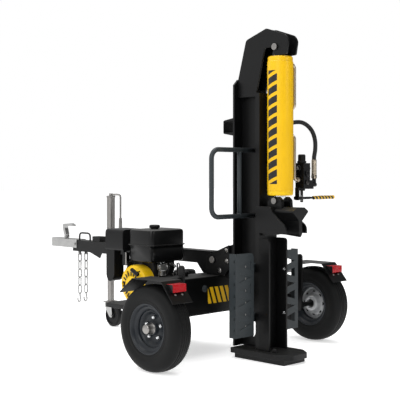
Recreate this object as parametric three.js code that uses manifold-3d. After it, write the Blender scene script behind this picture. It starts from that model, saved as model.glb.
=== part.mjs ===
// Towable hydraulic log splitter with a beam that tilts from upright to level over the tow tongue.
// Millimetres, +Z up, +Y towards the tow coupler, +X towards the right-hand wheel.
// The model is drawn with Y = 0 over the wheel axle, and the last lines centre it on its own footprint.
import * as THREE from "three";
import { mergeVertices } from "three/addons/utils/BufferGeometryUtils.js";
import Module from "manifold-3d";

const wasm = await Module();
wasm.setup();

// ---------------------------------------------------------------- driving dimensions

const GAP = 0.3; // clearance between neighbouring pieces

const axleHeight = 232.5; // half of a 5.70-8 tyre's height
const trackHalf = 680; // wheel centre plane to the middle of the machine
const hubEnd = 752; // outer end of the hub caps

const flangeHalf = 75; // the beam's flanges are 150 wide
const flangeFront = -202; // front face of the beam, which the wedge slides on
const frontFlange = 30;
const backFlange = 12;
const webHalf = 6;
const beamBase = 60; // top of the foot, where the beam stands
const beamTop = 1588;

const cylinderY = -291; // axis of the hydraulic cylinder
const barrelRadius = 73;
const barrelBottom = 930;
const barrelTop = 1700;
const topPinZ = 1752;
const rodPinZ = 897;
const pinRadius = 12.7;

const pivot = { y: 145, z: 545 }; // tilt axis of the beam
const tank = { half: 500, y0: 100, y1: 280, z0: 240, z1: 457, wall: 5 };
const tongue = { half: 37.5, z0: 512, z1: 587, y0: 206, y1: 1545 };
const crank = { y: 470, z: 400 }; // engine crankshaft, which runs along X
const cheekPlate = { inner: 68, outer: 80, front: -276, top: 685 }; // guards in front of the beam
const lockPin = { y: 40, z: 545, radius: 8, boss: 28 };
const valve = { x: 200, half: 30, low: 966, high: 1108, spoolRadius: 8.5 };
const lever = { x: 150, z: 908, pinRadius: 5, end: 492, gripLength: 198 };
const portPipe = { top: 1660, low: 1012, x: 124, radius: 9.5, jog: 46 };
const stroke = { pistonTop: 64, pistonLength: 40, glandLength: 50 }; // from the barrel's two ends
const jackAt = { x: 118, y: 1322, top: 888, sleeveLow: 330, radius: 28, wall: 3.5 };
const caster = { radius: 76, half: 22, trail: 34, plateZ: 165 };
const deckTop = 276;
const fuel = { x0: -422, x1: -146, y0: 314, y1: 524, z0: 548, z1: 722, seam: 632 };
const pullCord = { y: 412, z: 480, radius: 3 };

// ---------------------------------------------------------------- finishes

const finish = (color, roughness, metalness) => () =>
  new THREE.MeshStandardMaterial({ color, roughness, metalness });
const blackPaint = finish(0x222325, 0.45, 0.1);
const greyPaint = finish(0x454b50, 0.5, 0.1);
const yellowPaint = finish(0xf0c316, 0.4, 0.05);
const zincPlate = finish(0xb9bbb8, 0.4, 0.85);
const chromePlate = finish(0xd8dadd, 0.12, 1);
const blackPlastic = finish(0x2b2c2e, 0.6, 0);
const castAlloy = finish(0x8c8f92, 0.5, 0.7);
const tyreRubber = finish(0x27282a, 0.85, 0);
const hoseRubber = finish(0x1c1c1e, 0.75, 0);
const rimPaint = finish(0x2c3238, 0.4, 0.3);
const redLens = finish(0xc4161c, 0.25, 0);

// ---------------------------------------------------------------- solids

/** A closed three.js geometry as a solid, with its faces turned outwards. */
function solid(geometry) {
  const plain = geometry.index ? geometry.toNonIndexed() : geometry.clone();
  plain.deleteAttribute("normal");
  plain.deleteAttribute("uv");
  const merged = mergeVertices(plain, 1e-3);
  const corners = merged.index.array;
  const triVerts = [];
  for (let i = 0; i < corners.length; i += 3) {
    const [a, b, c] = [corners[i], corners[i + 1], corners[i + 2]];
    if (a !== b && b !== c && c !== a) triVerts.push(a, b, c);
  }
  const vertProperties = new Float32Array(merged.attributes.position.array);
  const build = (tris) =>
    new wasm.Manifold(new wasm.Mesh({ numProp: 3, vertProperties, triVerts: new Uint32Array(tris) }));
  const body = build(triVerts);
  if (body.volume() > 0) return body;
  return build(triVerts.map((_, i) => triVerts[i - (i % 3) + [0, 2, 1][i % 3]]));
}

const join = (first, ...rest) => rest.reduce((a, b) => a.add(b), first);
const cut = (first, ...rest) => rest.reduce((a, b) => a.subtract(b), first);

/** A mesh from a solid, in the given finish and under the given name. */
function piece(name, body, material) {
  const { vertProperties, triVerts } = body.getMesh();
  const geometry = new THREE.BufferGeometry();
  geometry.setAttribute("position", new THREE.BufferAttribute(new Float32Array(vertProperties), 3));
  geometry.setIndex(new THREE.BufferAttribute(new Uint32Array(triVerts), 1));
  geometry.computeVertexNormals();
  const mesh = new THREE.Mesh(geometry, material());
  mesh.name = name;
  return mesh;
}

/** Each plane's basis carries a drawing's x, y and its extrusion to the model's axes. */
const planes = {
  xy: [new THREE.Vector3(1, 0, 0), new THREE.Vector3(0, 1, 0), new THREE.Vector3(0, 0, 1)],
  yz: [new THREE.Vector3(0, 1, 0), new THREE.Vector3(0, 0, 1), new THREE.Vector3(1, 0, 0)],
  zx: [new THREE.Vector3(0, 0, 1), new THREE.Vector3(1, 0, 0), new THREE.Vector3(0, 1, 0)],
};

function onPlane(geometry, plane) {
  return geometry.applyMatrix4(new THREE.Matrix4().makeBasis(...planes[plane]));
}

function outline(points) {
  if (points instanceof THREE.Shape) return points;
  return new THREE.Shape(points.map(([a, b]) => new THREE.Vector2(a, b)));
}

/** An outline on a plane, extruded between two stations on the third axis. */
function plate(plane, points, from, to, curveSegments = 8) {
  const geometry = new THREE.ExtrudeGeometry(outline(points), {
    depth: to - from,
    bevelEnabled: false,
    curveSegments,
  });
  return solid(onPlane(geometry.translate(0, 0, from), plane));
}

function block(x0, x1, y0, y1, z0, z1) {
  const geometry = new THREE.BoxGeometry(x1 - x0, y1 - y0, z1 - z0);
  return solid(geometry.translate((x0 + x1) / 2, (y0 + y1) / 2, (z0 + z1) / 2));
}

/** A round bar along X, Y or Z, where [a, b] is its centre on the other two axes in cyclic order. */
function bar(axis, radius, from, to, [a, b], sides = 12, endRadius = radius) {
  const geometry = new THREE.CylinderGeometry(endRadius, radius, to - from, sides);
  geometry.rotateX(Math.PI / 2).translate(a, b, (from + to) / 2);
  return solid(onPlane(geometry, { x: "yz", y: "zx", z: "xy" }[axis]));
}

/** A [radius, station] profile turned about X, Y or Z. */
function turned(axis, profile, [a, b] = [0, 0], sides = 20) {
  const points = profile.map(([r, s]) => new THREE.Vector2(r, s));
  const geometry = new THREE.LatheGeometry(points, sides);
  geometry.rotateX(Math.PI / 2).translate(a, b, 0);
  return solid(onPlane(geometry, { x: "yz", y: "zx", z: "xy" }[axis]));
}

/** A round tube or rod along a path of corner points, whose corners are rounded to the bend radius. */
function bent(points, radius, bend, sides = 8) {
  const path = new THREE.CurvePath();
  const corners = points.map((p) => new THREE.Vector3(...p));
  let start = corners[0];
  for (let i = 1; i < corners.length - 1; i += 1) {
    const before = corners[i].clone().add(corners[i - 1].clone().sub(corners[i]).setLength(bend));
    const after = corners[i].clone().add(corners[i + 1].clone().sub(corners[i]).setLength(bend));
    path.add(new THREE.LineCurve3(start, before));
    path.add(new THREE.QuadraticBezierCurve3(before, corners[i], after));
    start = after;
  }
  path.add(new THREE.LineCurve3(start, corners.at(-1)));
  const ring = roundShape(radius, sides);
  const pieces = path.curves.map((curve) => {
    const steps = curve instanceof THREE.LineCurve3 ? 1 : 3;
    return curve.getPoints(steps);
  });
  const route = pieces.flat().filter((p, i, all) => i === 0 || p.distanceTo(all[i - 1]) > 0.5);
  return sweep(ring, route);
}

function roundShape(radius, sides) {
  const turn = (2 * Math.PI) / sides;
  return Array.from({ length: sides }, (_, i) => [radius * Math.cos(i * turn), radius * Math.sin(i * turn)]);
}

/** A section of [a, b] points swept through route points, square to the route at each of them. */
function sweep(section, route) {
  class Route extends THREE.Curve {
    getPoint(t) {
      const at = Math.min(t * (route.length - 1), route.length - 1 - 1e-9);
      const i = Math.floor(at);
      return route[i].clone().lerp(route[i + 1], at - i);
    }
    getPointAt(t) {
      return this.getPoint(t);
    }
    getTangentAt(t) {
      const i = Math.round(t * (route.length - 1));
      const before = route[Math.max(i - 1, 0)];
      const after = route[Math.min(i + 1, route.length - 1)];
      return after.clone().sub(before).normalize();
    }
  }
  const steps = route.length - 1;
  return solid(new THREE.ExtrudeGeometry(outline(section), { steps, extrudePath: new Route() }));
}

/** A plate outline with its corners rounded: each entry is [a, b] or [a, b, corner radius]. */
function rounded(points) {
  const shape = new THREE.Shape();
  points.forEach(([a, b, radius = 0], i) => {
    const [pa, pb] = points.at(i - 1);
    const [na, nb] = points[(i + 1) % points.length];
    const toward = (ta, tb) => {
      const share = Math.min(radius / Math.hypot(ta - a, tb - b), 0.48);
      return [a + (ta - a) * share, b + (tb - b) * share];
    };
    const [sa, sb] = toward(pa, pb);
    const [ea, eb] = toward(na, nb);
    if (i === 0) shape.moveTo(sa, sb);
    else shape.lineTo(sa, sb);
    if (radius > 0) shape.quadraticCurveTo(a, b, ea, eb);
  });
  return shape;
}

/** A hexagon bolt head or nut along an axis. */
function hex(axis, across, from, to, centre) {
  return bar(axis, across / Math.sqrt(3), from, to, centre, 6);
}

const machine = new THREE.Group();
const splittingBeam = new THREE.Group();
const chassis = new THREE.Group();
machine.add(splittingBeam, chassis);

// ---------------------------------------------------------------- splitting beam

/** Welded I-beam with chamfered back-flange corners and an oval sight hole above the foot. */
function makeBeam() {
  const frontEdge = flangeFront + frontFlange;
  const frontTop = 1500;
  const chamfer = 32;
  const back = plate("zx", [
    [beamBase + GAP, -flangeHalf],
    [beamTop - chamfer, -flangeHalf],
    [beamTop, -flangeHalf + chamfer],
    [beamTop, flangeHalf - chamfer],
    [beamTop - chamfer, flangeHalf],
    [beamBase + GAP, flangeHalf],
  ], -backFlange, 0);
  const web = plate("yz", [
    [frontEdge - 1, beamBase + GAP],
    [1 - backFlange, beamBase + GAP],
    [1 - backFlange, beamTop - 20],
    [-60, beamTop - 20],
    [frontEdge - 1, frontTop],
  ], -webHalf, webHalf);
  const front = block(-flangeHalf, flangeHalf, flangeFront, frontEdge, beamBase + GAP, frontTop);
  const sightHole = plate("yz", ovalPoints(-90, 165, 26, 52), -webHalf - 1, webHalf + 1);
  splittingBeam.add(piece("beam", cut(join(back, web, front), sightHole), blackPaint));
}

function ovalPoints(a, b, halfA, halfB, sides = 16) {
  return roundShape(1, sides).map(([u, v]) => [a + u * halfA, b + v * halfB]);
}

/** Thick foot that the log stands on, with chamfered front corners, over a narrower skid. */
function makeFoot() {
  const half = 118;
  const chamfer = 56;
  const rear = -20;
  const front = -433;
  const plateBottom = 30;
  const top = plate("xy", rounded([
    [-half, rear],
    [-half, front + chamfer + 16, 12],
    [-half + chamfer, front, 12],
    [half - chamfer, front, 12],
    [half, front + chamfer + 16, 12],
    [half, rear],
  ]), plateBottom, beamBase, 4);
  const skidHalf = 91;
  const skid = block(-skidHalf, skidHalf, -392, -28, 0, plateBottom + 1);
  const toe = plate("yz", rounded([
    [-300, beamBase - 1],
    [-300, 84, 10],
    [-322, 84, 10],
    [-334, beamBase - 1],
  ]), -cheekPlate.outer, -cheekPlate.inner, 3);
  splittingBeam.add(piece("foot", join(top, skid, toe), blackPaint));
}

/** Cheek plate welded in front of the beam, which guards the lower travel and carries bolted wear strips. */
function makeGuideRail(side) {
  const { inner, outer, front, top } = cheekPlate;
  const back = flangeFront - GAP;
  const edge = rounded([[back, beamBase + GAP], [back, top], [front, top, 22], [front, beamBase + GAP]]);
  const [x0, x1] = side < 0 ? [-outer, -inner] : [inner, outer];
  const body = plate("yz", edge, x0, x1);
  const [h0, h1] = side < 0 ? [-inner - 1, -inner + 6] : [inner - 6, inner + 1];
  const bolts = [260, 511].map((z) => hex("x", 15, h0, h1, [front + 16, z]));
  const name = side < 0 ? "guide_rail_left" : "guide_rail_right";
  splittingBeam.add(piece(name, join(body, ...bolts), blackPaint));
}

/** Two side plates and a back plate that carry the top pin of the cylinder over the beam. */
function makeTower() {
  const inner = 33;
  const outer = 45;
  const side = rounded([
    [-14, 1484],
    [-14, 1590],
    [-74, 1808, 14],
    [-226, 1861, 8],
    [-366, 1813, 16],
    [-385, 1780, 12],
    [-372, 1706, 8],
    [-284, 1702, 6],
    [-272, 1752, 8],
    [-212, 1752, 8],
    [-152, 1510],
    [-165, 1484],
  ]);
  const plates = [
    [-outer, -inner],
    [inner, outer],
  ].map(([x0, x1]) => plate("yz", side, x0, x1, 3));
  const backPlate = plate("yz", [
    [-28, 1594],
    [-14, 1590],
    [-74, 1808],
    [-220, 1859],
    [-218, 1848],
    [-86, 1800],
  ], -inner - 1, inner + 1);
  const fillers = [-1, 1].map((s) => {
    const [x0, x1] = s < 0 ? [-inner - 1, -webHalf - GAP] : [webHalf + GAP, inner + 1];
    return block(x0, x1, -146, -24, 1488, 1520);
  });
  const bore = bar("x", pinRadius + GAP, -outer - 1, outer + 1, [cylinderY, topPinZ]);
  splittingBeam.add(piece("cylinder_tower", cut(join(...plates, backPlate, ...fillers), bore), blackPaint));
}

/** Stand-off box on the beam's back, which rests on the tongue when the beam lies level. */
function makeTongueRest() {
  const front = GAP;
  const depth = 100;
  const wall = 6;
  const z0 = 1280;
  const z1 = 1356;
  const half = 50;
  const outer = plate("yz", rounded([
    [front, z0 - 16],
    [front, z1 + 16],
    [front + wall, z1 + 16],
    [depth, z1, 8],
    [depth, z0, 8],
    [front + wall, z0 - 16],
  ]), -half, half, 3);
  const hollow = block(-half - 1, half + 1, front + wall, depth - wall, z0 + wall, z1 - wall);
  splittingBeam.add(piece("tongue_rest", cut(outer, hollow), blackPaint));
}

/** U-shaped bracket on the beam's back; its cheeks turn on the pivot pin between the chassis plates. */
function makeBeamBracket() {
  const inner = 62;
  const outer = 74;
  const cheek = rounded([
    [GAP, 430],
    [60, 452, 20],
    [pivot.y, pivot.z - 62, 30],
    [pivot.y + 46, pivot.z - 24, 30],
    [pivot.y + 34, pivot.z + 34, 30],
    [30, 632, 12],
    [GAP, 640],
  ]);
  const cheeks = [
    [-outer, -inner],
    [inner, outer],
  ].map(([x0, x1]) => plate("yz", cheek, x0, x1, 4));
  const back = block(-inner - 1, inner + 1, GAP, 10, 436, 634);
  const sleeve = bar("x", 24, -inner - 1, inner + 1, [pivot.y, pivot.z], 16);
  const bore = bar("x", pinRadius + GAP, -outer - 1, outer + 1, [pivot.y, pivot.z], 16);
  const lockBore = bar("x", lockPin.radius + 1, inner - 1, outer + 1, [lockPin.y, lockPin.z]);
  splittingBeam.add(piece("beam_bracket", cut(join(...cheeks, back, sleeve), bore, lockBore), blackPaint));
}

/** Tube handle whose two arms are welded to the web; its loop is used to tip the beam over. */
function makeHandle() {
  const radius = 13.5;
  const y = -100;
  const reach = -355;
  const innerX = -129;
  const z0 = 855 - 46;
  const z1 = 1139 + 42;
  const loop = bent([
    [-webHalf - GAP, y, z1],
    [reach, y, z1],
    [reach, y, z0],
    [-webHalf - GAP, y, z0],
  ], radius, 52, 8);
  const brace = bar("z", radius - 1, z0, z1, [innerX, y], 8);
  splittingBeam.add(piece("tilt_handle", join(loop, brace), greyPaint));
}

/** Folded log catcher with a row of truss cut-outs, held by two arms bolted to the web. */
function makeLogCatcher(side) {
  const y = -200;
  const wall = 4;
  const x0 = 119;
  const x1 = 269;
  const z0 = 147;
  const z1 = 608;
  const lip = 48;
  const face = plate("zx", rounded([
    [z0, x0],
    [z0, x1],
    [z1, x1],
    [z1, x0, 34],
  ]), y, y + wall, 4);
  const fold = block(x1 - wall, x1, y, y + lip, z0, z1);
  const inset = 26;
  const bays = 6;
  const pitch = (z1 - z0 - 70) / bays;
  const cutOuts = Array.from({ length: bays }, (_, i) => {
    const low = z0 + 35 + i * pitch + 6;
    const high = low + pitch - 12;
    const mid = (low + high) / 2;
    const [base, tip] = i % 2 ? [x0 + inset, x1 - inset - 4] : [x1 - inset - 4, x0 + inset];
    return plate("zx", [[low, base], [high, base], [mid, tip]], y - 1, y + wall + 1);
  });
  const slots = Array.from({ length: 7 }, (_, i) => {
    const z = z0 + 42 + i * ((z1 - z0 - 84) / 6);
    return block(x1 - wall - 1, x1 + 1, y + 8, y + 14, z - 9, z + 9);
  });
  const arms = [235, 515].map((z) => {
    const arm = block(webHalf + GAP, x0 + 26, -150, -144, z - 22, z + 22);
    const rib = block(x0 + 6, x0 + 12, y + wall - 1, -144, z - 22, z + 22);
    const pad = block(webHalf + GAP, webHalf + GAP + 6, -150, -90, z - 22, z + 22);
    const bolts = [-10, 10].map((dz) => hex("x", 15, webHalf + GAP + 5, webHalf + GAP + 13, [-108, z + dz]));
    return join(arm, rib, pad, ...bolts);
  });
  const right = join(cut(join(face, fold), ...cutOuts, ...slots), ...arms);
  const body = side < 0 ? right.mirror([1, 0, 0]) : right;
  splittingBeam.add(piece(side < 0 ? "log_catcher_left" : "log_catcher_right", body, greyPaint));
}

// ---------------------------------------------------------------- hydraulic cylinder and wedge

/** Barrel with a welded end cap and the eye that hangs on the tower's pin, and a port boss on its right. */
function makeBarrel() {
  const capStep = 3;
  const bore = 63.5;
  const shell = turned("z", [
    [0, barrelTop],
    [barrelRadius - 8, barrelTop],
    [barrelRadius - capStep, barrelTop - 5],
    [barrelRadius - capStep, barrelTop - 26],
    [barrelRadius, barrelTop - 30],
    [barrelRadius, barrelBottom + 22],
    [bore, barrelBottom + 22],
    [bore, barrelTop - 60],
    [0, barrelTop - 60],
  ], [0, cylinderY], 24);
  const eye = plate("yz", rounded([
    [cylinderY - 26, barrelTop - 6],
    [cylinderY - 26, topPinZ + 26, 22],
    [cylinderY + 26, topPinZ + 26, 22],
    [cylinderY + 26, barrelTop - 6],
  ]), -30, 30, 4);
  const pinBore = bar("x", pinRadius + GAP, -31, 31, [cylinderY, topPinZ]);
  const boss = bar("x", 19, barrelRadius - 14, barrelRadius + 11, [cylinderY, portPipe.top]);
  const port = bar("x", 7, bore - 12, barrelRadius + 12, [cylinderY, portPipe.top], 8);
  splittingBeam.add(piece("cylinder_barrel", cut(join(shell, eye, boss), pinBore, port), yellowPaint));
}

/** Screwed gland ring that closes the barrel and guides the rod. */
function makeGland() {
  const ring = turned("z", [
    [32.4, barrelBottom - 4],
    [barrelRadius - 6, barrelBottom - 4],
    [barrelRadius - 1, barrelBottom + 2],
    [barrelRadius - 1, barrelBottom + 22 - GAP],
    [63.5 - GAP, barrelBottom + 22 - GAP],
    [63.5 - GAP, barrelBottom + stroke.glandLength],
    [32.4, barrelBottom + stroke.glandLength],
    [32.4, barrelBottom - 4],
  ], [0, cylinderY], 24);
  splittingBeam.add(piece("cylinder_gland", ring, yellowPaint));
}

/** Headed pin with a split-pin end. */
function pin(radius, x0, x1, at, headRadius, headLength = 8) {
  const shank = bar("x", radius, x0 + headLength - 1, x1, at);
  const head = bar("x", headRadius, x0, x0 + headLength, at);
  return join(shank, head);
}

function makeTopPin() {
  const body = pin(pinRadius, -56, 58, [cylinderY, topPinZ], 19);
  splittingBeam.add(piece("cylinder_pin", body, zincPlate));
}

/** Steel pipe from the cap-end port to the valve, set back behind the barrel over its middle stretch. */
function makePortPipe() {
  const { top, low, x, radius, jog } = portPipe;
  const start = barrelRadius + 11 + GAP;
  const y = cylinderY;
  const run = bent([
    [start, y, top],
    [x, y, top],
    [x, y, 1430],
    [x, y + jog, 1390],
    [x, y + jog, 1290],
    [x, y, 1250],
    [x, y, low],
    [valve.x - 31 - GAP, y, low],
  ], radius, 16, 6);
  const flare = hex("x", 27, start, start + 12, [y, top]);
  const clampNut = hex("x", 27, valve.x - 45, valve.x - 31 - GAP, [y, low]);
  splittingBeam.add(piece("port_pipe", join(run, flare, clampNut), zincPlate));
}

/** Valve block with its detent housing on top, ports on both sides and an arm to the barrel. */
function makeValveBody() {
  const { x, half, low, high, spoolRadius } = valve;
  const y = cylinderY;
  const spoolX = x - 10;
  const body = block(x - half, x + half, y - half, y + half, low, high);
  const detent = turned("z", [
    [spoolRadius + 2, high - 1],
    [22, high - 1],
    [22, high + 44],
    [17, high + 50],
    [0, high + 50],
    [0, high + 44],
    [spoolRadius + 2, high + 44],
    [spoolRadius + 2, high - 1],
  ], [spoolX, y], 12);
  const portBlock = block(x + half - 1, x + 72, y - 22, y + 22, low - 6, low + 44);
  const portBoss = bar("x", 17, x + half - 1, x + half + 20, [y, high - 30]);
  const neck = bar("z", 20, low - 16, low + 1, [spoolX, y], 16);
  const ear = join(
    block(lever.x - 6, lever.x + 6, y - 12, y + 12, lever.z - 12, low - 2),
    block(lever.x - 6, x - half + 4, y - 12, y + 12, low - 10, low + 1),
  );
  const earBore = bar("y", lever.pinRadius + GAP, y - 13, y + 13, [lever.z, lever.x], 16);
  const arm = block(barrelRadius - 20, x - half + 1, y + 12, y + 29, 1040, 1056);
  const clearance = turned("z", [
    [0, 1030],
    [barrelRadius + GAP, 1030],
    [barrelRadius + GAP, 1070],
    [0, 1070],
  ], [0, y], 24);
  const spoolBore = bar("z", spoolRadius + GAP, low - 17, high + 40, [spoolX, y]);
  const ports = join(portBlock, portBoss, valveElbow());
  const whole = join(body, detent, neck, ports, cut(ear, earBore), cut(arm, clearance));
  splittingBeam.add(piece("valve_body", cut(whole, spoolBore), blackPaint));
}

/** Spool that slides in the valve; its slotted lower end is moved by the lever. */
function makeValveSpool() {
  const { x, low, high, spoolRadius } = valve;
  const stem = bar("z", spoolRadius, lever.z - 24, high + 18, [x - 10, cylinderY]);
  const slot = block(x - 30, x + 10, cylinderY - 5 - GAP, cylinderY + 5 + GAP, lever.z - 15, lever.z + 15);
  splittingBeam.add(piece("valve_spool", cut(stem, slot), chromePlate));
}

/** Flat lever that turns in the valve's ear, passes through the spool's slot and ends in a grip. */
function makeLever() {
  const { x, z, pinRadius, end, gripLength } = lever;
  const y = cylinderY;
  const blade = block(x + 19, 262, y - 5, y + 5, z - 7, z + 7);
  const rod = bar("x", 6, 250, end - 30, [y, z], 10);
  const fork = [-1, 1].map((s) => {
    const [y0, y1] = s < 0 ? [y - 18, y - 12 - GAP] : [y + 12 + GAP, y + 18];
    return block(x - 10, x + 20, y0, y1, z - 9, z + 9);
  });
  const bridge = block(x + 12, x + 20, y - 18, y + 18, z - 9, z + 9);
  const pivotPin = bar("y", pinRadius, y - 20, y + 20, [z, x]);
  splittingBeam.add(piece("valve_lever", join(blade, rod, bridge, ...fork, pivotPin), zincPlate));
  const grip = turned("x", [
    [6 + GAP, end - gripLength],
    [10, end - gripLength],
    [12, end - gripLength + 6],
    [12, end - 6],
    [9, end],
    [0, end],
    [0, end - 30 + GAP],
    [6 + GAP, end - 30 + GAP],
    [6 + GAP, end - gripLength],
  ], [y, z], 10);
  splittingBeam.add(piece("lever_grip", grip, yellowPaint));
}

/** Route of the braided hose: out of the elbow on the web, up and over, and down to the valve. */
const hoseRoute = [
  [84, -100, 1270],
  [94, -100, 1270],
  [104, -100, 1270],
  [136, -111, 1282],
  [170, -134, 1308],
  [208, -164, 1333],
  [242, -198, 1347],
  [274, -228, 1345],
  [302, -252, 1322],
  [320, -270, 1286],
  [325, -282, 1240],
  [318, -289, 1192],
  [306, -291, 1150],
  [304, -291, 1138],
  [304, -291, 1128],
];
const hose = { radius: 12.5, sides: 8, steps: 20, crimpBottom: 1008 };

function makeHose() {
  const curve = new THREE.CatmullRomCurve3(hoseRoute.map((p) => new THREE.Vector3(...p)));
  const route = curve.getSpacedPoints(hose.steps);
  route.splice(1, 0, curve.getPointAt(0.01));
  route.splice(-1, 0, curve.getPointAt(0.99));
  const tube = sweep(roundShape(hose.radius, hose.sides), route);
  splittingBeam.add(piece("hydraulic_hose", tube, hoseRubber));
}

/** Elbow bolted to the web, where the hose meets the line that runs down behind the beam. */
function makeBulkheadElbow() {
  const [x, y, z] = hoseRoute[0];
  const face = webHalf + GAP;
  const elbow = join(
    block(face, face + 26, y - 20, y + 20, z - 20, z + 20),
    bar("x", 15, face + 25, x - GAP, [y, z]),
    hex("x", 30, face + 25, face + 38, [y, z]),
    bar("z", 12, z - 58, z - 19, [face + 13, y], 12),
  );
  splittingBeam.add(piece("bulkhead_elbow", elbow, zincPlate));
}

/** Crimped end of the hose on its elbow, screwed into the valve's port block. */
function valveElbow() {
  const [x, y, z] = hoseRoute.at(-1);
  const face = valve.x + 71;
  const low = hose.crimpBottom - 24;
  return join(
    bar("z", 15, hose.crimpBottom + 30, z - GAP, [x, y]),
    hex("z", 30, hose.crimpBottom + 12, hose.crimpBottom + 32, [x, y]),
    bar("z", 12, low, hose.crimpBottom + 13, [x, y]),
    bar("x", 12, face, x + 12, [y, low]),
    hex("x", 27, face, face + 12, [y, low]),
  );
}

/** Wedge: thick blade with flared wings on a carriage whose cheeks run outside the guide rails. */
function makeWedge() {
  const inner = 80.5;
  const outer = 92.5;
  const top = 866;
  const bottom = 717;
  const side = new THREE.Shape();
  side.moveTo(-188, bottom);
  side.lineTo(-188, top);
  side.lineTo(-284, top);
  side.quadraticCurveTo(-296, top - 2, -308, 838);
  side.quadraticCurveTo(-336, 806, -384, 774);
  side.quadraticCurveTo(-407, 760, -407, 736);
  side.lineTo(-407, bottom);
  const cheeks = [
    [-outer, -inner],
    [inner, outer],
  ].map(([x0, x1]) => plate("yz", side, x0, x1, 4));
  const tieFront = cheekPlate.front - 25;
  const tie = block(-inner - 1, inner + 1, tieFront, cheekPlate.front - 1, bottom, 852);
  const slideHalf = 60;
  const slide = block(-slideHalf, slideHalf, -236, flangeFront - 1, bottom - 15, 852);
  const deck = block(-slideHalf, slideHalf, tieFront, -230, 838, 852);
  const wing = 65;
  const bladeHalf = 13;
  const rear = -235;
  const nose = -436;
  const head = plate("zx", [
    [835, -wing],
    [843, -wing],
    [862, -34],
    [862, 34],
    [843, wing],
    [835, wing],
    [789, bladeHalf],
    [789, -bladeHalf],
  ], nose, rear);
  const blade = plate("zx", [
    [790, -bladeHalf],
    [790, bladeHalf],
    [716, bladeHalf],
    [700, 0],
    [716, -bladeHalf],
  ], nose, rear);
  const rake = plate("yz", [[rear + 1, 690], [rear + 1, 720], [nose - 1, 699], [nose - 1, 690]], -20, 20);
  const lugs = [
    [-50, -27],
    [27, 50],
  ].map(([x0, x1]) => plate("yz", rounded([
    [-342, 850],
    [-338, rodPinZ + 4, 6],
    [-318, 919, 10],
    [-262, 919, 10],
    [-240, 886, 6],
    [-240, 850],
  ]), x0, x1, 3));
  const pinBore = bar("x", pinRadius + GAP, -51, 51, [cylinderY, rodPinZ]);
  const body = cut(join(...cheeks, tie, slide, deck, head, cut(blade, rake), ...lugs), pinBore);
  splittingBeam.add(piece("wedge", body, blackPaint));
}

/** Chromed rod with its eye between the wedge's lugs; the piston end stays inside the barrel. */
function makeRod() {
  const pistonLow = barrelTop - stroke.pistonTop - stroke.pistonLength;
  const rod = bar("z", 31.75, 920, pistonLow + 1, [0, cylinderY], 20);
  const eye = join(
    bar("x", 22, -25, 25, [cylinderY, rodPinZ], 16),
    block(-25, 25, cylinderY - 22, cylinderY + 22, rodPinZ, 921),
  );
  const piston = bar("z", 62.4, pistonLow, barrelTop - stroke.pistonTop, [0, cylinderY], 20);
  const bore = bar("x", pinRadius + GAP, -26, 26, [cylinderY, rodPinZ]);
  splittingBeam.add(piece("piston_rod", cut(join(rod, eye, piston), bore), chromePlate));
}

function makeRodPin() {
  splittingBeam.add(piece("rod_pin", pin(pinRadius, -60, 62, [cylinderY, rodPinZ], 18), zincPlate));
}

// ---------------------------------------------------------------- chassis

/** Welded box that holds the hydraulic oil and is the chassis's cross member, with an open filler neck. */
function makeTank() {
  const { half, y0, y1, z0, z1, wall } = tank;
  const section = (inset, radius) => rounded([
    [y0 + inset, z0 + inset, radius],
    [y0 + inset, z1 - inset, radius],
    [y1 - inset, z1 - inset, radius],
    [y1 - inset, z0 + inset, radius],
  ]);
  const shell = plate("yz", section(0, 10), -half, half, 3);
  const inside = plate("yz", section(wall, 0), wall - half, half - wall);
  const fillHole = bar("z", 17, z1 - wall - 1, z1 + 11, [-255, 215], 16);
  const neck = bar("z", 22, z1 - 1, z1 + 10, [-255, 215], 16);
  const plugs = [-205, 205].map((x) => hex("y", 24, y0 - 8, y0 + 1, [390, x]));
  const suction = bar("y", 15, y1 - 1, y1 + 16, [z0 + 45, 190]);
  const returnPort = bar("z", 14, z1 - 1, z1 + 16, [300, 200]);
  const box = cut(join(shell, neck, ...plugs, suction, returnPort), inside, fillHole);
  chassis.add(piece("hydraulic_tank", box, blackPaint));
}

function makeFillerCap() {
  const z = tank.z1 + 10 + GAP;
  const cap = turned("z", [
    [0, z],
    [26, z],
    [28, z + 4],
    [28, z + 14],
    [24, z + 18],
    [0, z + 18],
  ], [-255, 215], 16);
  chassis.add(piece("filler_breather", cap, blackPlastic));
}

/** Pair of upright plates on a base, bolted to the tank's top, that carry the tilt pin and the lock pin. */
function makeTiltBracket() {
  const inner = 80;
  const outer = 90;
  const base = tank.z1 + GAP;
  const cheek = rounded([
    [60, base],
    [18, 500, 8],
    [18, 637, 6],
    [169, 577, 12],
    [199, 560, 8],
    [199, base],
  ]);
  const cheeks = [
    [-outer, -inner],
    [inner, outer],
  ].map(([x0, x1]) => plate("yz", cheek, x0, x1, 3));
  const floor = block(-outer, outer, tank.y0 + 6, 199, base, base + 8);
  const bore = bar("x", pinRadius + GAP, -outer - 1, outer + 1, [pivot.y, pivot.z], 20);
  const lockEnd = outer + lockPin.boss;
  const lockBoss = bar("x", 15, outer - 1, lockEnd, [lockPin.y, lockPin.z]);
  const lockBore = bar("x", lockPin.radius + GAP, inner - 1, lockEnd + 1, [lockPin.y, lockPin.z]);
  const bolts = [[44, 600], [96, 490]].flatMap((at) => [
    hex("x", 18, -outer - 9, -outer + 1, at),
    hex("x", 18, outer - 1, outer + 9, at),
  ]);
  const welded = cut(join(...cheeks, floor, lockBoss), bore, lockBore);
  chassis.add(piece("tilt_bracket", join(welded, ...bolts), blackPaint));
  chassis.add(piece("tilt_pin", pin(pinRadius, -102, 104, [pivot.y, pivot.z], 20), zincPlate));
}

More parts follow.
